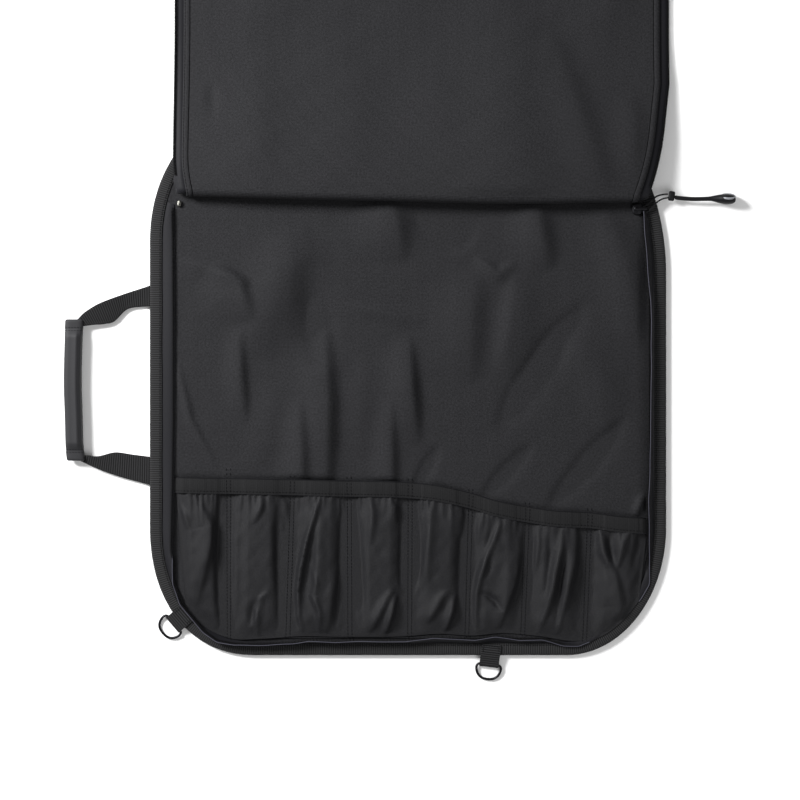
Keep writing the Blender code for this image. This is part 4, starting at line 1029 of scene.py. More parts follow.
def make_lining():
    """The back's inner cloth, lying loose in soft folds."""
    half = CASE_LENGTH / 2 - LINING_INSET
    even = np.linspace(-1.0, 1.0, LINING_GRID[0])
    grid = []
    hem = table_curve(HEM_LINE)
    for y in half * (0.45 * even + 0.55 * np.sin(even * math.pi / 2)):
        left, right = sides_at(y, LINING_INSET)
        x = np.linspace(left, right, LINING_GRID[1])
        across, down = to_plan(x, y)
        above = smooth((hem(across) + 2.0 - down) / 8.0)
        edge = smooth(np.minimum(x - left, right - x) / 0.012)
        rise = FOLD_GAIN["lining"] * relief(x, y, LINING_FOLDS) + 0.0016 * smooth((down - 200.0) / 60.0)
        rise = np.maximum(rise + 0.0002 * ripple(x, y, 2, 0.02, 0.07), 0.0) * above * edge
        grid.append(np.column_stack([x, np.full_like(x, y), LINING_MIDDLE + rise]))
    lining = cloth("back_lining_cloth", np.array(grid), LINING_THICKNESS, finish_of("cloth"))
    finish_piece(lining, "cloth", "back_lining")


def zip_lines():
    """The back zip's way: points on the case's edge, the way out, inset of its free edge and its height."""
    outline, _ = case_outline()
    room = np.where(outline[:, 0] > 0, 0.0045, -0.0040)
    inside = outline[:, 1] < FOLD_Y - room
    start = next(i for i in range(len(outline)) if outline[i, 0] < 0 and inside[i])
    order = np.arange(start, start + len(outline)) % len(outline)
    way = outline[order][inside[order]]
    out = way_out(outline)[order][inside[order]]
    edge = spaced(from_plan(ZIP_EDGE), 0.0005)
    inset = np.zeros(len(way))
    for i, (point, outward) in enumerate(zip(way, out)):
        off = point - edge
        inwards = off @ outward
        across = np.abs(off @ np.array([-outward[1], outward[0]]))
        across[(inwards < -0.002) | (inwards > 0.05)] = 1.0
        inset[i] = inwards[np.argmin(across)]
    height = table_curve(ZIP_RISE)(np.linspace(0.0, 1.0, len(way))) * BACK_TAPE_HEIGHT
    return way, out, evened(inset, 4), height


def make_back_zip():
    """The half of the zip that is sewn to the back, standing on its edge or lying inwards."""
    sizes = bpy.context.scene.case_sizes
    way, out, inset, height = zip_lines()
    low = LINING_TOP + 0.0001
    columns = []
    wave = 0.0003 * ripple(way[:, 0], way[:, 1], 4, 0.02, 0.08)
    for across in np.linspace(0.0, 1.0, 12):
        reach = BACK_TAPE_SEAM + (inset - BACK_TAPE_SEAM + wave) * across
        bulge = 0.0014 * math.sin(math.pi * across) * (0.3 + 0.7 * smooth(height / BACK_TAPE_HEIGHT))
        rise = low + height * across**1.25 + bulge
        columns.append(np.column_stack([way - out * reach[:, None], rise]))
    run = np.arange(len(way)) * OUTLINE_STEP
    flat = np.stack(np.meshgrid(run, np.linspace(0.0, TAPE_CUT_WIDTH, 12), indexing="ij"), axis=-1)
    tape = cloth("back_tape", np.stack(columns, axis=1), TAPE_THICKNESS, finish_of("zip tape"), flat)
    finish_piece(tape, "zip_tape", "back_zip_tape")
    free = np.stack(columns, axis=1)[:, -1] + np.array([0.0, 0.0, 0.0005])
    # A pale cord paints the highlight on the zip tape's free edge. It shows from the near left corner on,
    # but round the near right corner the edge is turned under.
    turned_under = (free[:, 0] > 0.172) & (free[:, 1] < -0.204)
    shown = np.flatnonzero(~turned_under & (np.arange(len(free)) > 0.27 * len(free)))
    for number, run in enumerate(np.split(shown, np.flatnonzero(np.diff(shown) > 1) + 1)):
        rings = rings_along(spaced(free[run], 0.0015), circle(EDGE_HIGHLIGHT_RADIUS, 8))
        finish_piece(swept(f"back_tape_edge_{number + 1}", rings, finish_of("selvedge")), "zip_tape")
    lying = smooth((inset - 0.0185) / 0.003)
    coil_inset = inset + (1.0 - lying) * 0.0012 - lying * 0.0016
    coil_height = low + height - (1.0 - lying) * 0.0012 + lying * 0.0017
    line = np.column_stack([way - out * coil_inset[:, None], coil_height])
    line = line[line[:, 1] < FOLD_Y - np.where(line[:, 0] > 0, 0.0134, 0.0052)][::2]
    coil = repeated("back_coil", [line], sizes.coil_pitch, finish_of("coil"),
                    ring=(0.0012, sizes.coil_wire / 2))
    finish_piece(coil, "zip_coil", "back_zip_coil")


def front_rows(inset, columns, lift):
    """The front's inner face inset from the case's outline, folded and lifted, and its flat pattern."""
    half = CASE_LENGTH / 2 - inset
    start = STRIP_RUN + HALF_TURN
    strip, turn, lid = FRONT_ROWS
    even = np.linspace(0.0, 1.0, lid)[1:]
    end = CASE_LENGTH - inset
    distances = np.concatenate([
        np.linspace(inset, STRIP_RUN, strip),
        STRIP_RUN + HALF_TURN * np.linspace(0.0, 1.0, turn)[1:],
        start + (end - start) * (0.4 * even + 0.6 * np.sin(even * math.pi / 2)),
    ])
    grid, flat = [], []
    for distance in distances:
        ends = []
        for side, x in enumerate(sides_at(CASE_LENGTH / 2 - distance, inset)):
            y = np.clip(follow_fold(distance, x), -half, half)
            ends.append(sides_at(y, inset)[side])
        x = np.linspace(*ends, columns)
        y = np.clip(follow_fold(distance, x), -half, half)
        grid.append(on_lid(x, y, lift))
        flat.append(np.column_stack([x, y]))
    return np.array(grid), np.array(flat)


def follow_fold(distance, x):
    """Where a row lies on the flat pattern: near the fold it follows the fold's own line."""
    before = smooth(distance / STRIP_RUN)
    past = distance - STRIP_RUN - HALF_TURN
    return CASE_LENGTH / 2 - distance - fold_nearness(x) * before * (1.0 - smooth(past / LID_FALL))


def front_band(name, profile, finish):
    """A band along the front's edge, folded with it. The profile is its section's insets and lifts."""
    outline, outward = case_outline()
    rings = []
    for inset, lift in profile:
        line = outline - outward * inset
        rings.append(on_lid(line[:, 0], line[:, 1], lift))
    return swept(name, np.stack(rings, axis=1), finish, closed=True)


def make_front():
    """The front: sewn along the far edge, rolled over, and lying open beyond it."""
    sizes = bpy.context.scene.case_sizes
    facing_inset = PANEL_INSET + FACING_WIDTH
    grid, flat = front_rows(PANEL_INSET, FRONT_COLUMNS, 0.0)
    panel = cloth("front_pad", grid, FRONT_THICKNESS, finish_of("cloth"), flat)
    finish_piece(panel, "cloth", "front_panel")
    grid, flat = front_rows(facing_inset, FRONT_COLUMNS, FACE_LIFT + LINING_THICKNESS / 2)
    lining = cloth("front_lining_cloth", grid, LINING_THICKNESS, finish_of("cloth"), flat)
    finish_piece(lining, "cloth", "front_lining")
    low, high = FACE_LIFT, FACE_LIFT + LINING_THICKNESS
    profile = (
        (facing_inset - 0.0010, low), (facing_inset - 0.0008, high), (facing_inset - 0.0022, high + 0.0005),
        (facing_inset - 0.0040, high + 0.0004), (PANEL_INSET + 0.0016, high + 0.0001),
        (PANEL_INSET + 0.0004, high),
        (PANEL_INSET + 0.0001, low + 0.0002), (PANEL_INSET + 0.0004, low),
    )
    facing = front_band("front_facing_tape", profile, finish_of("cloth"))
    finish_piece(facing, "ribbed_tape", "front_facing")
    half = TAPE_THICKNESS / 2
    inner = PANEL_INSET + 0.0004
    profile = (
        (inner, -half), (inner, half), (inner - 0.0020, half + 0.0005), (inner - 0.0040, half + 0.0004),
        (FRONT_TAPE_INSET + 0.0006, half), (FRONT_TAPE_INSET, 0.0), (FRONT_TAPE_INSET + 0.0006, -half),
    )
    tape = front_band("front_tape", profile, finish_of("zip tape"))
    finish_piece(tape, "zip_tape", "front_zip_tape")
    outline, outward = case_outline()
    line = outline - outward * (FRONT_TAPE_INSET + 0.0010)
    start = STRIP_RUN + HALF_TURN
    free = line[:, 1] < CASE_LENGTH / 2 - start - 2 * COIL_DIAMETER
    first = next(i for i in range(len(line)) if free[i] and not free[i - 1])
    line = np.roll(line, -first, axis=0)[: free.sum()]
    places = on_lid(line[:, 0], line[:, 1], TAPE_THICKNESS / 2 + 0.0014)
    coil = repeated("front_coil", [places], sizes.coil_pitch, finish_of("coil"),
                    ring=(0.0011, sizes.coil_wire / 2))
    finish_piece(coil, "zip_coil", "front_zip_coil")


def pocket_place(across, down):
    """The pockets' outer face, without its thickness: across counts pockets from the left, down is from the
    hem's upper edge to the floor."""
    numbers = np.arange(len(POCKET_SEAMS))
    top_x = np.interp(across, numbers, [row[0] for row in POCKET_SEAMS])
    low_x = np.interp(across, numbers, [row[1] for row in POCKET_SEAMS])
    top_y = table_curve(HEM_LINE)(top_x) + 2.0
    low_y = table_curve(POCKET_FLOOR)(low_x)
    place = from_plan(np.stack([top_x + (low_x - top_x) * down, top_y + (low_y - top_y) * down], axis=-1))
    share = across - np.floor(across)
    share = np.where(across >= numbers[-1], 1.0, share)
    strip = np.minimum(share, 1.0 - share)
    outer = (across < 0.5) | (across > numbers[-1] - 0.5)
    flat = np.where(outer & (strip < 0.5), 0.0, 0.085)
    rise = smooth((strip - flat) / 0.26)
    fall = smooth((1.0 - down) / 0.14)
    swell = (0.62 + 0.38 * smooth(down / 0.3)) * (1.0 - 0.45 * smooth((down - 0.45) / 0.5)) * fall
    under_hem = 1.0 - 0.55 * (1.0 - smooth((down - 0.02) / 0.12))
    x, y = place[..., 0], place[..., 1]
    folds = relief(x, y, POCKET_FOLDS)
    gathers = gather_height(across, down) + 0.00022 * ripple(x, y, 6, 0.008, 0.03)
    mask = smooth(strip / 0.16) * smooth((1.0 - down) / 0.05)
    base = LINING_TOP + CLEARANCE + POCKET_THICKNESS / 2
    height = POCKET_BULGE * swell * rise + (FOLD_GAIN["pockets"] * folds * under_hem + gathers) * mask
    return np.concatenate([place, (base + np.maximum(height, 0.0))[..., None]], axis=-1)


def gather_height(across, down):
    """Short pleats that run down from the hem and up from the floor."""
    random = np.random.default_rng(12)
    height = np.zeros(np.broadcast(across, down).shape)
    for pocket in range(POCKETS):
        shift = random.uniform(-0.03, 0.03, PLEATS_PER_POCKET)
        for spot in np.linspace(0.10, 0.90, PLEATS_PER_POCKET) + shift:
            reach = random.uniform(0.16, 0.38)
            lean = random.uniform(-0.12, 0.12)
            rise = random.uniform(0.0010, 0.0022)
            off = (across - pocket - spot - lean * down) / random.uniform(0.022, 0.042)
            height = height + rise * np.exp(-off * off) * (1.0 - smooth(down / reach)) * smooth(down / 0.02)
    return height


def make_pockets():
    """One strip of light cloth, gathered into pockets by its stitch lines."""
    columns, rows = POCKET_GRID
    across, down = np.meshgrid(np.linspace(0.0, POCKETS, columns), np.linspace(0.0, 1.0, rows))
    grid = pocket_place(across, down)
    flat = np.stack([across * POCKET_SPACING, down * POCKET_CUT_DEPTH], axis=-1)
    strip = cloth("pocket_strip", grid, POCKET_THICKNESS * 0.6, finish_of("pocket cloth"), flat)
    finish_piece(strip, "cloth", *(f"pocket_{number}" for number in range(1, POCKETS + 1)))


@functools.lru_cache(maxsize=None)
def hem_levels():
    """How high the pockets' mouths stand along the hem, evened out: x in plan units and height."""
    x = np.linspace(HEM_LINE[0][0], HEM_LINE[-1][0], 240)
    across = np.interp(x, [row[0] for row in POCKET_SEAMS], np.arange(len(POCKET_SEAMS)))
    rows = [pocket_place(across, np.full_like(x, down))[:, 2] for down in (0.0, 0.03, 0.06, 0.09)]
    tops = np.max(rows, axis=0)
    tops = np.max([np.roll(tops, shift) for shift in (-2, -1, 0, 1, 2)], axis=0)
    even = evened(tops, 16)
    return tuple(zip(x, np.maximum(even, 0.6 * even + 0.4 * tops)))


def hem_place(x, down):
    """The hem's face at x in plan units and a share of its width down from its upper edge."""
    upper = table_curve(HEM_LINE)(x)
    place = from_plan(np.stack([x, upper + down * HEM_WIDTH / PLAN_UNIT], axis=-1))
    level = table_curve(hem_levels())(x)
    z = level + HEM_THICKNESS / 2 + 0.0004 + 0.0006 * np.sin(math.pi * down)
    ends = np.minimum(x - HEM_LINE[0][0], HEM_LINE[-1][0] - x)
    z = LINING_TOP + 0.0009 + (z - LINING_TOP - 0.0009) * smooth(ends / 9.0)
    return np.concatenate([place, z[..., None]], axis=-1)


def make_hem():
    """A flat ribbed ribbon over the pockets' mouths."""
    sizes = bpy.context.scene.case_sizes
    steps = round((HEM_LINE[-1][0] - HEM_LINE[0][0]) * PLAN_UNIT / sizes.rib_pitch) * POINTS_PER_RIB
    along = np.linspace(HEM_LINE[0][0], HEM_LINE[-1][0], steps + 1)
    x, down = np.meshgrid(along, np.linspace(0.0, 1.0, 15))
    grid = hem_place(x, down)
    grid[..., 2] += 0.3 * sizes.rib_depth * rib_wave(steps + 1)[None, :]
    flat = np.stack([x * PLAN_UNIT, down * HEM_WIDTH], axis=-1)
    hem = cloth("pocket_ribbon", grid, HEM_THICKNESS * 0.8, finish_of("hem"), flat)
    finish_piece(hem, "ribbed_tape", "pocket_hem")
    # A dark cord in the thread's colour along the ribbon's upper edge is painted shadow.
    line = spaced(hem_place(x[0], np.full(steps + 1, -0.03)), 0.0020) - np.array([0.0, 0.0, 0.0006])
    turned = swept("pocket_mouth_edge", rings_along(line, circle(0.0007, 8)), finish_of("thread"))
    finish_piece(turned, "cloth")
    # A pale cord along the ribbon's lower edge is a painted highlight.
    line = spaced(hem_place(x[0], np.full(steps + 1, 0.99)), 0.0020)
    pale = swept("hem_lower_edge", rings_along(line, circle(0.00032, 8)), finish_of("selvedge"))
    finish_piece(pale, "ribbed_tape")


def strap(name, rows):
    """One arm of the handle's webbing, ribbed across."""
    sizes = bpy.context.scene.case_sizes
    upper = np.column_stack([from_plan([row[:2] for row in rows]), [row[4] for row in rows]])
    lower = np.column_stack([from_plan([row[2:4] for row in rows]), [row[5] for row in rows]])
    curve = [smooth_line(line) for line in (upper, lower)]
    steps = round(reach_of((curve[0] + curve[1]) / 2) / sizes.rib_pitch) * POINTS_PER_WEBBING_RIB
    upper, lower = (spaced(line, 0.0, steps=steps) for line in curve)
    across = lower - upper
    up = unit(np.cross(np.gradient((upper + lower) / 2, axis=0), across))
    up *= np.sign(up[:, 2])[:, None]
    rib = 1.0 + 0.30 * rib_wave(steps + 1, POINTS_PER_WEBBING_RIB)
    half = WEBBING_THICKNESS / 2
    shares = (0.0, 0.03, 0.1, 0.3, 0.5, 0.7, 0.9, 0.97, 1.0)
    rings = []
    for share, rise in [(share, 1) for share in shares] + [(share, -1) for share in shares[::-1]]:
        edge = 0.45 if share in (0.0, 1.0) else (0.85 if share in (0.03, 0.97) else 1.0)
        rings.append(upper + across * share + up * (half * edge * rise * rib)[:, None])
    step = sizes.rib_pitch / POINTS_PER_WEBBING_RIB
    obj = swept(name, np.stack(rings, axis=1), finish_of("webbing"), step=step)
    return finish_piece(obj, "webbing")


def smooth_line(points, steps=24):
    """A smooth curve through the given points."""
    points = np.asarray(points, float)
    fine = []
    for i in range(len(points) - 1):
        before, after = points[max(i - 1, 0)], points[min(i + 2, len(points) - 1)]
        a, b = points[i], points[i + 1]
        for t in np.linspace(0.0, 1.0, steps, endpoint=False):
            fine.append(0.5 * (2 * a + (b - before) * t + (2 * before - 5 * a + 4 * b - after) * t * t
                               + (3 * a - before - 3 * b + after) * t**3))
    return np.array(fine + [points[-1]])


def grip_rings(sides, stations):
    """Sections of the grip: round over its foam and pressed flat at its sewn ends."""
    line = smooth_line([(*from_plan((x, y)), GRIP_HEIGHT / 2) for y, x in GRIP_LINE])
    line = spaced(line, 0.0, steps=stations)
    angles = np.linspace(0.0, 2 * math.pi, sides, endpoint=False)
    rings = []
    total = len(line) - 1
    length = np.linalg.norm(line[-1] - line[0])
    for i, centre in enumerate(line):
        from_end = min(i, total - i) / total * length
        full = smooth((from_end - 0.0085) / 0.009)
        tip = math.sqrt(max(0.0, 1.0 - (1.0 - min(from_end / 0.0022, 1.0)) ** 2))
        width = GRIP_WIDTH / 2 * (1.0 + 0.05 * (1.0 - full)) * (0.86 + 0.14 * tip)
        height = GRIP_HEIGHT / 2 * (0.60 + 0.40 * full) * (0.55 + 0.45 * tip)
        x = width * fuller(np.cos(angles), 3.4)
        z = height * fuller(np.sin(angles), 3.4)
        ridge = 0.0011 * full * np.exp(-(((x - 0.0034) / 0.0013) ** 2)) * (z > 0)
        z = z + ridge
        crease = 1.0 - 0.035 * math.exp(-(((from_end - 0.0105) / 0.0016) ** 2))
        rings.append(centre + crease * np.column_stack([x, np.zeros(sides), z]))
    return np.array(rings)


def make_handle():
    """Two arms of ribbed webbing and a padded grip."""
    strap("handle_strap_upper", WEBBING_UPPER)
    lower = strap("handle_strap_lower", WEBBING_LOWER)
    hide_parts("handle_webbing")
    rings = grip_rings(*GRIP_GRID)
    grip = swept("handle_pad", rings, finish_of("grip"))
    finish_piece(grip, "grip_cover", "handle_grip")


def make_rings():
    """Two D-shaped wire rings, each in a folded tab of webbing."""
    sizes = bpy.context.scene.case_sizes
    for name, degrees, tab_width, tab_reach, edge in RINGS:
        out, along = heading(degrees)
        edge = np.array(edge)
        bar_height = TAB_THICKNESS + CLEARANCE + RING_WIRE / 2
        loop = RING_WIRE / 2 + CLEARANCE + TAB_THICKNESS / 2
        bar_reach = tab_reach - loop - TAB_THICKNESS / 2
        top = BINDING_TOP + CLEARANCE + TAB_THICKNESS / 2 + 0.0002
        line = [(-TAB_LAP, top), (-0.0060, top), (-0.0024, top), (0.0004, top - 0.0002),
                (0.0024, top - 0.0007)]
        for angle in np.linspace(80.0, -90.0, 12):
            turn = math.radians(angle)
            line.append((bar_reach + loop * math.cos(turn), bar_height + loop * math.sin(turn)))
        line.append((0.0035, TAB_THICKNESS / 2))
        line = smooth_line(line, 12)
        steps = round(reach_of(line) / sizes.rib_pitch) * POINTS_PER_RIB
        line = spaced(line, 0.0, steps=steps)
        run = unit(np.gradient(line, axis=0))
        rib = 0.5 * sizes.rib_depth * rib_wave(len(line))
        line = line + np.stack([-run[:, 1], run[:, 0]], axis=1) * rib[:, None]
        share = np.linspace(-0.5, 0.5, 15)
        grid = np.zeros((len(line), len(share), 3))
        grid[..., :2] = edge + line[:, None, :1] * out + share[None, :, None] * tab_width * along
        grid[..., 2] = line[:, 1:]
        run = np.arange(len(line)) * sizes.rib_pitch / POINTS_PER_RIB
        flat = np.stack(np.meshgrid(run, share * tab_width, indexing="ij"), axis=-1)
        tab = cloth(f"{name}_webbing", grid, TAB_THICKNESS * 0.9, finish_of("webbing"), flat)
        finish_piece(tab, "webbing", f"{name}_tab")

        half_width = (RING_WIDTH - RING_WIRE) / 2
        depth = RING_DEPTH - RING_WIRE
        fall = (bar_height - RING_WIRE / 2) / depth
        curve = [(s * half_width, 0.0) for s in np.linspace(-0.86, 0.86, 12)]
        for angle in np.linspace(0.12, math.pi - 0.12, 60):
            curve.append((half_width * fuller(math.cos(angle), RING_FULLNESS),
                          depth * fuller(math.sin(angle), RING_FULLNESS)))
        curve = spaced(np.array(curve), 0.0008, closed=True)
        for _ in range(3):
            curve = 0.25 * np.roll(curve, -1, axis=0) + 0.5 * curve + 0.25 * np.roll(curve, 1, axis=0)
        points = np.zeros((len(curve), 3))
        points[:, :2] = edge + (bar_reach + curve[:, 1:]) * out + curve[:, :1] * along
        points[:, 2] = bar_height - fall * curve[:, 1]
        ring = swept(f"{name}_wire", rings_along(points, circle(RING_WIRE / 2, 14), True),
                     finish_of("dark metal"), closed=True)
        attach(ring, name)
        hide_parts(name)


def plate(name, outline, low, high, bevel, finish):
    """A flat plate with rounded edges, from its outline."""
    outline = np.asarray(outline, float)
    outward = way_out(outline)
    steps = (
        (bevel, low), (bevel * 0.3, low + bevel * 0.3), (0.0, low + bevel), (0.0, high - bevel),
        (bevel * 0.3, high - bevel * 0.3), (bevel, high),
    )
    return swept(name, [at_height(outline - outward * inset, height) for inset, height in steps], finish)


def rounded(centre, width, length, fullness=3.5, turn=0.0, sides=40):
    """A rounded oblong outline, anticlockwise."""
    angles = np.linspace(0.0, 2 * math.pi, sides, endpoint=False)
    across, along = heading(turn)
    x = width / 2 * fuller(np.cos(angles), fullness)
    y = length / 2 * fuller(np.sin(angles), fullness)
    return np.asarray(centre) + x[:, None] * across + y[:, None] * along


def make_slider():
    """The zip's slider with its bridge, and the stop at the other end."""
    low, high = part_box("zip_slider")
    x = 0.4425 * CASE_WIDTH
    y = (low.y + high.y) / 2
    metal = finish_of("dark metal")
    plates = (
        # name, outline, low and high above the slider's foot, rounding of its edges
        ("slider_base", rounded((x, y), 0.0088, 0.0108), 0.0, 0.0014, 0.0005),
        ("slider_neck", rounded((x, y + 0.0022), 0.0030, 0.0052, 2.4), 0.0012, 0.0034, 0.0003),
        ("slider_top", rounded((x, y), 0.0086, 0.0104), 0.0032, 0.0044, 0.0005),
    )
    under, neck, upper = (
        plate(name, outline, low.z + start, low.z + end, bevel, metal)
        for name, outline, start, end, bevel in plates
    )
    arch = [(x - 0.0030, y, low.z + 0.0040), (x - 0.0022, y, low.z + 0.0052), (x + 0.001, y, high.z - 0.0006),
            (high.x - 0.0030, y, high.z - 0.0006), (high.x - 0.0013, y, high.z - 0.0014),
            (high.x - 0.0012, y, low.z + 0.0022), (high.x - 0.0020, y, low.z + 0.0009)]
    line = spaced(smooth_line(arch), 0.0004)
    side = np.array([0.0, 1.0, 0.0])
    rise = np.cross(side, unit(np.gradient(line, axis=0)))
    section = rounded((0.0, 0.0), 0.0030, 0.0012, 3.0, sides=16)
    rings = line[:, None] + side * section[None, :, :1] + rise[:, None] * section[None, :, 1:]
    bridge = swept("slider_bridge", rings, metal)
    for piece in (under, neck, upper, bridge):
        finish_piece(piece, "dark_metal")
    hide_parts("zip_slider")
    low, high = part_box("zip_stop")
    centre = ((low.x + high.x) / 2, (low.y + high.y) / 2)
    metal = finish_of("bright metal")
    body = rounded(centre, 0.0038, 0.0056, 3.2, -12.0)
    crimp = plate("stop_crimp", body, low.z, low.z + 0.0026, 0.0006, metal)
    crest = rounded(centre, 0.0015, 0.0050, 2.6, -12.0)
    ridge = plate("stop_ridge", crest, low.z + 0.0024, high.z, 0.0003, metal)
    finish_piece(ridge, "bright_metal")
    finish_piece(crimp, "bright_metal", "zip_stop")


def tilted_disc(name, centre, radii, finish):
    """A turned disc that stands on its edge and leans back. Radii pair a height on its axis with a radius."""
    tilt = math.radians(65.0)
    axis = np.array([0.0, math.sin(tilt), math.cos(tilt)])
    side = np.array([1.0, 0.0, 0.0])
    up = np.cross(axis, side)
    turn = circle(1.0, 56)
    rings = []
    for height, radius in radii:
        rings.append(centre + axis * height + radius * (turn[:, :1] * side + turn[:, 1:] * up))
    return swept(name, rings, finish)


def make_pull():
    """The pull's cord, bead, sleeve and disc. The cord starts at the slider's bridge."""
    points = [(x * CASE_WIDTH, y * CASE_LENGTH, z) for x, y, z in CORD_ROUTE]
    path = spaced(smooth_line(points, 20), 0.0011)
    sway = np.linspace(0.0, len(path) * 0.0011 / 0.0026 * 2 * math.pi, len(path))
    section = circle(CORD_DIAMETER / 2, 12)
    rings = rings_along(path, section)
    around = np.linspace(0.0, 2 * math.pi, 12, endpoint=False)
    strand = 1.0 + 0.05 * np.cos(3 * around[None, :] + sway[:, None])
    rings = path[:, None] + (rings - path[:, None]) * strand[..., None]
    cord = swept("pull_cord_braid", rings, finish_of("moulding"))
    finish_piece(cord, "pull_cord", "pull_cord")

    low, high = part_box("pull_bead")
    centre = np.array([(low.x + high.x) / 2, (low.y + high.y) / 2, (low.z + high.z) / 2])
    along, side = (np.append(way, 0.0) for way in heading(-8.0))
    up = np.array([0.0, 0.0, 1.0])
    section = rounded((0.0, 0.0), 0.0094, 0.0050, 2.6, sides=28)
    stations = [(-0.0028, 0.72), (-0.0026, 0.86), (-0.0018, 0.98), (0.0, 1.0), (0.0018, 0.98), (0.0026, 0.86),
                (0.0028, 0.72)]
    rings = [
        centre + along * reach + share * (section[:, :1] * side + section[:, 1:] * up)
        for reach, share in stations
    ]
    bead = swept("pull_bead_moulding", rings, finish_of("moulding"))
    finish_piece(bead, "zip_coil", "pull_bead")

    stations = (
        # x and y as shares of width and length, height, half width across and half its thickness
        (0.5150, 0.3510, 0.0076, 0.0012, 0.0012), (0.5172, 0.3506, 0.0076, 0.0019, 0.0019),
        (0.5260, 0.3494, 0.0075, 0.0020, 0.0020), (0.5520, 0.3478, 0.0074, 0.0020, 0.0020),
        (0.5780, 0.3482, 0.0077, 0.0021, 0.0020), (0.5880, 0.3486, 0.0078, 0.0026, 0.0024),
        (0.5990, 0.3482, 0.0080, 0.0038, 0.0040), (0.6080, 0.3478, 0.0081, 0.0046, 0.0060),
        (0.6180, 0.3475, 0.0081, 0.0049, 0.0070), (0.6280, 0.3475, 0.0081, 0.0040, 0.0060),
        (0.6316, 0.3475, 0.0081, 0.0024, 0.0040),
    )
    curve = smooth_line(stations, 8)
    rings = []
    oval = circle(1.0, 28)
    for x, y, z, wide, thick in curve:
        place = np.array([x * CASE_WIDTH, y * CASE_LENGTH, z])
        rings.append(place + np.column_stack([np.zeros(28), wide * oval[:, 0], thick * oval[:, 1]]))
    sleeve = swept("pull_sleeve", rings, finish_of("moulding"))
    finish_piece(sleeve, "pull_plastic", "pull_grip")
    centre = np.array([0.6180 * CASE_WIDTH, 0.3475 * CASE_LENGTH, 0.0081])
    radii = ((0.0018, 0.0010), (0.0018, 0.0066), (0.0023, 0.0072), (0.0032, 0.0072), (0.0037, 0.0068),
             (0.0038, 0.0060), (0.0036, 0.0056), (0.0036, 0.0010))
    disc = tilted_disc("pull_disc", centre, radii, finish_of("pale plastic"))
    finish_piece(disc, "pale_plastic", "pull_inlay")


def surface_line(points, lift=0.0002):
    """The same points, lifted off the face that they lie on."""
    points = np.array(points, float)
    points[:, 2] += lift
    return points


def make_stitches():
    """Every row of stitches, on the faces they are sewn through."""
    sizes = bpy.context.scene.case_sizes
    lines = []
    outline, outward = case_outline()
    lines.append(at_height(outline - outward * BINDING_STITCH["inset"], BINDING_STITCH["height"]))
    down = np.linspace(0.0, 1.0, 130)
    for number in range(1, POCKETS):
        for side in (-SEAM_HALF_GAP, SEAM_HALF_GAP):
            places = pocket_place(np.full_like(down, number + side), down)
            x, y = to_plan(places[:, 0], places[:, 1])
            over = (y - table_curve(HEM_LINE)(x)) / (HEM_WIDTH / PLAN_UNIT)
            on_hem = hem_place(x, np.clip(over, 0.0, 1.0))
            on_cloth = places[:, 2] + POCKET_THICKNESS * 0.3
            places[:, 2] = np.where(over < 1.0, on_hem[:, 2] + STITCH_LIFT, on_cloth)
            lines.append(surface_line(places))
    # Each seam's stitches end a little above the ribbon, on the lining.
    lining = bpy.data.objects["back_lining_cloth"]
    for number, (seam_x, _) in enumerate(POCKET_SEAMS[1:-1]):
        reach = 3.5 if number else 9.0
        for side in (-2.0, 2.0):
            upper = float(table_curve(HEM_LINE)(seam_x)) - 0.5
            down = np.linspace(upper, upper - reach, 8)
            spots = from_plan(np.stack([np.full_like(down, seam_x + side), down], axis=-1))
            hits = [lining.ray_cast((x, y, 0.05), (0.0, 0.0, -1.0))[1] for x, y in spots]
            lines.append(surface_line([tuple(hit) for hit in hits]))
    x = np.linspace(HEM_LINE[0][0] + 3, HEM_LINE[-1][0] - 3, 420)
    hem_row = hem_place(x, np.full_like(x, 0.84))
    lines.append(surface_line(hem_row, 0.0006))
    line = outline - outward * LID_STITCH_INSET
    lines.append(on_lid(line[:, 0], line[:, 1], FACE_LIFT + LINING_THICKNESS + STITCH_LIFT))
    rows = repeated(
        "seam_stitches", lines, sizes.stitch_pitch, finish_of("thread"),
        stitch=(sizes.stitch_length, sizes.thread_width),
    )
    finish_piece(rows, "pull_cord")

    lines = []
    stations = GRIP_GRID[1]
    rings = grip_rings(72, stations)
    for share in (0.060, 0.940, 0.083, 0.917):
        ring = rings[round(share * stations)]
        top = ring[np.argsort(ring[:, 0])]
        top = top[top[:, 2] > GRIP_HEIGHT / 2 + 0.0012]
        lines.append(surface_line(top, 0.0001))
    for _, degrees, tab_width, _, edge in RINGS:
        out, along = heading(degrees)
        height = BINDING_TOP + CLEARANCE + TAB_THICKNESS + 0.0003
        corners = np.array([(-0.0090, -0.40), (-0.0030, -0.40), (-0.0030, 0.40), (-0.0090, 0.40),
                            (-0.0090, -0.40)])
        box = np.array(edge) + corners[:, :1] * out + corners[:, 1:] * along * tab_width
        lines.append(spaced(at_height(box, height), 0.001))
    box = repeated(
        "box_stitches", lines, sizes.stitch_pitch * 0.8, finish_of("thread"),
        stitch=(sizes.stitch_length * 0.8, sizes.thread_width),
    )
    finish_piece(box, "pull_cord")


def area_light(name, place, aim, size, power):
    light = bpy.data.lights.new(name, "AREA")
    light.shape = "DISK"
    light.size = size
    light.energy = power
    obj = bpy.data.objects.new(name, light)
    obj.location = place
    obj.rotation_euler = (obj.location - Vector(aim)).to_track_quat("Z", "Y").to_euler()
    bpy.context.scene.collection.objects.link(obj)


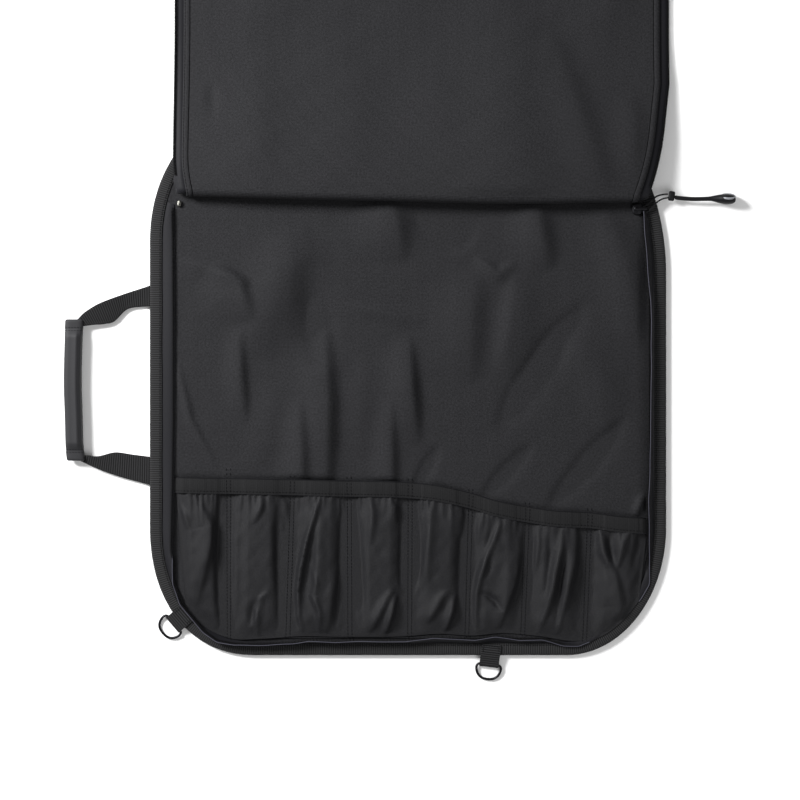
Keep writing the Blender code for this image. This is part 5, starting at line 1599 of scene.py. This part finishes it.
def make_stage():
    """A white paper floor, soft lights and a camera straight above."""
    scene = bpy.context.scene
    mesh = bpy.data.meshes.new("floor")
    corners = [(-1, -1), (1, -1), (1, 1), (-1, 1)]
    places = [(x * FLOOR_REACH, y * FLOOR_REACH, FLOOR_LEVEL) for x, y in corners]
    mesh.from_pydata(places, [], [(0, 1, 2, 3)])
    # White paper, matt.
    paper, _, _ = start_finish("white paper", scene.case_colours.floor, 0.9, 0.1)
    mesh.materials.append(paper)
    floor = bpy.data.objects.new("floor", mesh)
    scene.collection.objects.link(floor)
    scene.world = bpy.data.worlds.new("studio")
    scene.world.use_nodes = True
    sky = scene.world.node_tree.nodes["Background"]
    sky.inputs["Color"].default_value = (1.0, 1.0, 1.0, 1.0)
    sky.inputs["Strength"].default_value = SKY_LIGHT
    area_light("key", **KEY_LIGHT)
    area_light("fill", **FILL_LIGHT)
    scene.view_settings.view_transform = "Standard"
    camera = bpy.data.cameras.new("camera")
    camera.sensor_width = SENSOR_WIDTH
    camera.lens = SENSOR_WIDTH * CAMERA_HEIGHT / (VIEW_UNITS * PLAN_UNIT)
    obj = bpy.data.objects.new("camera", camera)
    obj.location = (*from_plan((VIEW_UNITS / 2, VIEW_UNITS / 2)), CAMERA_HEIGHT)
    scene.collection.objects.link(obj)
    scene.camera = obj


class KNIFE_CASE_OT_stage(bpy.types.Operator):
    """Build the floor, the lights and the camera"""

    bl_idname = "knife_case.stage"
    bl_label = "Stage"

    def execute(self, context):
        make_stage()
        return {"FINISHED"}


class KNIFE_CASE_OT_pull(bpy.types.Operator):
    """Build the zip pull: its cord, bead, sleeve and disc"""

    bl_idname = "knife_case.pull"
    bl_label = "Zip pull"

    def execute(self, context):
        make_pull()
        return {"FINISHED"}


class KNIFE_CASE_OT_back(bpy.types.Operator):
    """Build the padded back and the ribbed tape round its edge"""

    bl_idname = "knife_case.back"
    bl_label = "Padded back and edge tape"

    def execute(self, context):
        make_pad()
        make_binding()
        return {"FINISHED"}


class KNIFE_CASE_OT_lining(bpy.types.Operator):
    """Build the back's lining with its soft folds"""

    bl_idname = "knife_case.lining"
    bl_label = "Back lining"

    def execute(self, context):
        make_lining()
        return {"FINISHED"}


class KNIFE_CASE_OT_back_zip(bpy.types.Operator):
    """Build the zip tape and coil on the back"""

    bl_idname = "knife_case.back_zip"
    bl_label = "Back zip"

    def execute(self, context):
        make_back_zip()
        return {"FINISHED"}


class KNIFE_CASE_OT_front(bpy.types.Operator):
    """Build the folded-back front with its lining, facing, tape and coil"""

    bl_idname = "knife_case.front"
    bl_label = "Front"

    def execute(self, context):
        make_front()
        return {"FINISHED"}


class KNIFE_CASE_OT_pockets(bpy.types.Operator):
    """Build the gathered pockets and the ribbon along their mouths"""

    bl_idname = "knife_case.pockets"
    bl_label = "Pockets and hem"

    def execute(self, context):
        make_pockets()
        make_hem()
        return {"FINISHED"}


class KNIFE_CASE_OT_handle(bpy.types.Operator):
    """Build the handle's webbing and padded grip"""

    bl_idname = "knife_case.handle"
    bl_label = "Handle"

    def execute(self, context):
        make_handle()
        return {"FINISHED"}


class KNIFE_CASE_OT_rings(bpy.types.Operator):
    """Build the two rings and their tabs"""

    bl_idname = "knife_case.rings"
    bl_label = "Rings and tabs"

    def execute(self, context):
        make_rings()
        return {"FINISHED"}


class KNIFE_CASE_OT_slider(bpy.types.Operator):
    """Build the zip's slider and its end stop"""

    bl_idname = "knife_case.slider"
    bl_label = "Slider and stop"

    def execute(self, context):
        make_slider()
        return {"FINISHED"}


class KNIFE_CASE_OT_stitches(bpy.types.Operator):
    """Sew every row of stitches"""

    bl_idname = "knife_case.stitches"
    bl_label = "Stitches"

    def execute(self, context):
        make_stitches()
        return {"FINISHED"}


class KNIFE_CASE_PT_panel(bpy.types.Panel):
    """Lists the case's pieces in the sidebar"""

    bl_idname = "KNIFE_CASE_PT_panel"
    bl_label = "Knife case"
    bl_space_type = "VIEW_3D"
    bl_region_type = "UI"
    bl_category = "Knife case"

    def draw(self, context):
        for step in STEPS:
            self.layout.operator(step.bl_idname)
        for group in (context.scene.case_sizes, context.scene.case_colours):
            for key in group.bl_rna.properties.keys():
                if key not in {"rna_type", "name"}:
                    self.layout.prop(group, key)


STEPS = (
    KNIFE_CASE_OT_stage, KNIFE_CASE_OT_pull, KNIFE_CASE_OT_back, KNIFE_CASE_OT_lining,
    KNIFE_CASE_OT_back_zip, KNIFE_CASE_OT_front, KNIFE_CASE_OT_pockets, KNIFE_CASE_OT_handle,
    KNIFE_CASE_OT_rings, KNIFE_CASE_OT_slider, KNIFE_CASE_OT_stitches,
)
CLASSES = (CaseSizes, CaseColours, *STEPS, KNIFE_CASE_PT_panel)


def register():
    for each in CLASSES:
        bpy.utils.register_class(each)
    bpy.types.Scene.case_sizes = PointerProperty(type=CaseSizes)
    bpy.types.Scene.case_colours = PointerProperty(type=CaseColours)


def unregister():
    del bpy.types.Scene.case_colours
    del bpy.types.Scene.case_sizes
    for each in reversed(CLASSES):
        bpy.utils.unregister_class(each)


def main():
    """Builds every piece in order."""
    register()
    bpy.ops.knife_case.stage()
    bpy.ops.knife_case.pull()
    bpy.ops.knife_case.back()
    bpy.ops.knife_case.lining()
    bpy.ops.knife_case.back_zip()
    bpy.ops.knife_case.front()
    bpy.ops.knife_case.pockets()
    bpy.ops.knife_case.handle()
    bpy.ops.knife_case.rings()
    bpy.ops.knife_case.slider()
    bpy.ops.knife_case.stitches()


if __name__ == "__main__":
    main()
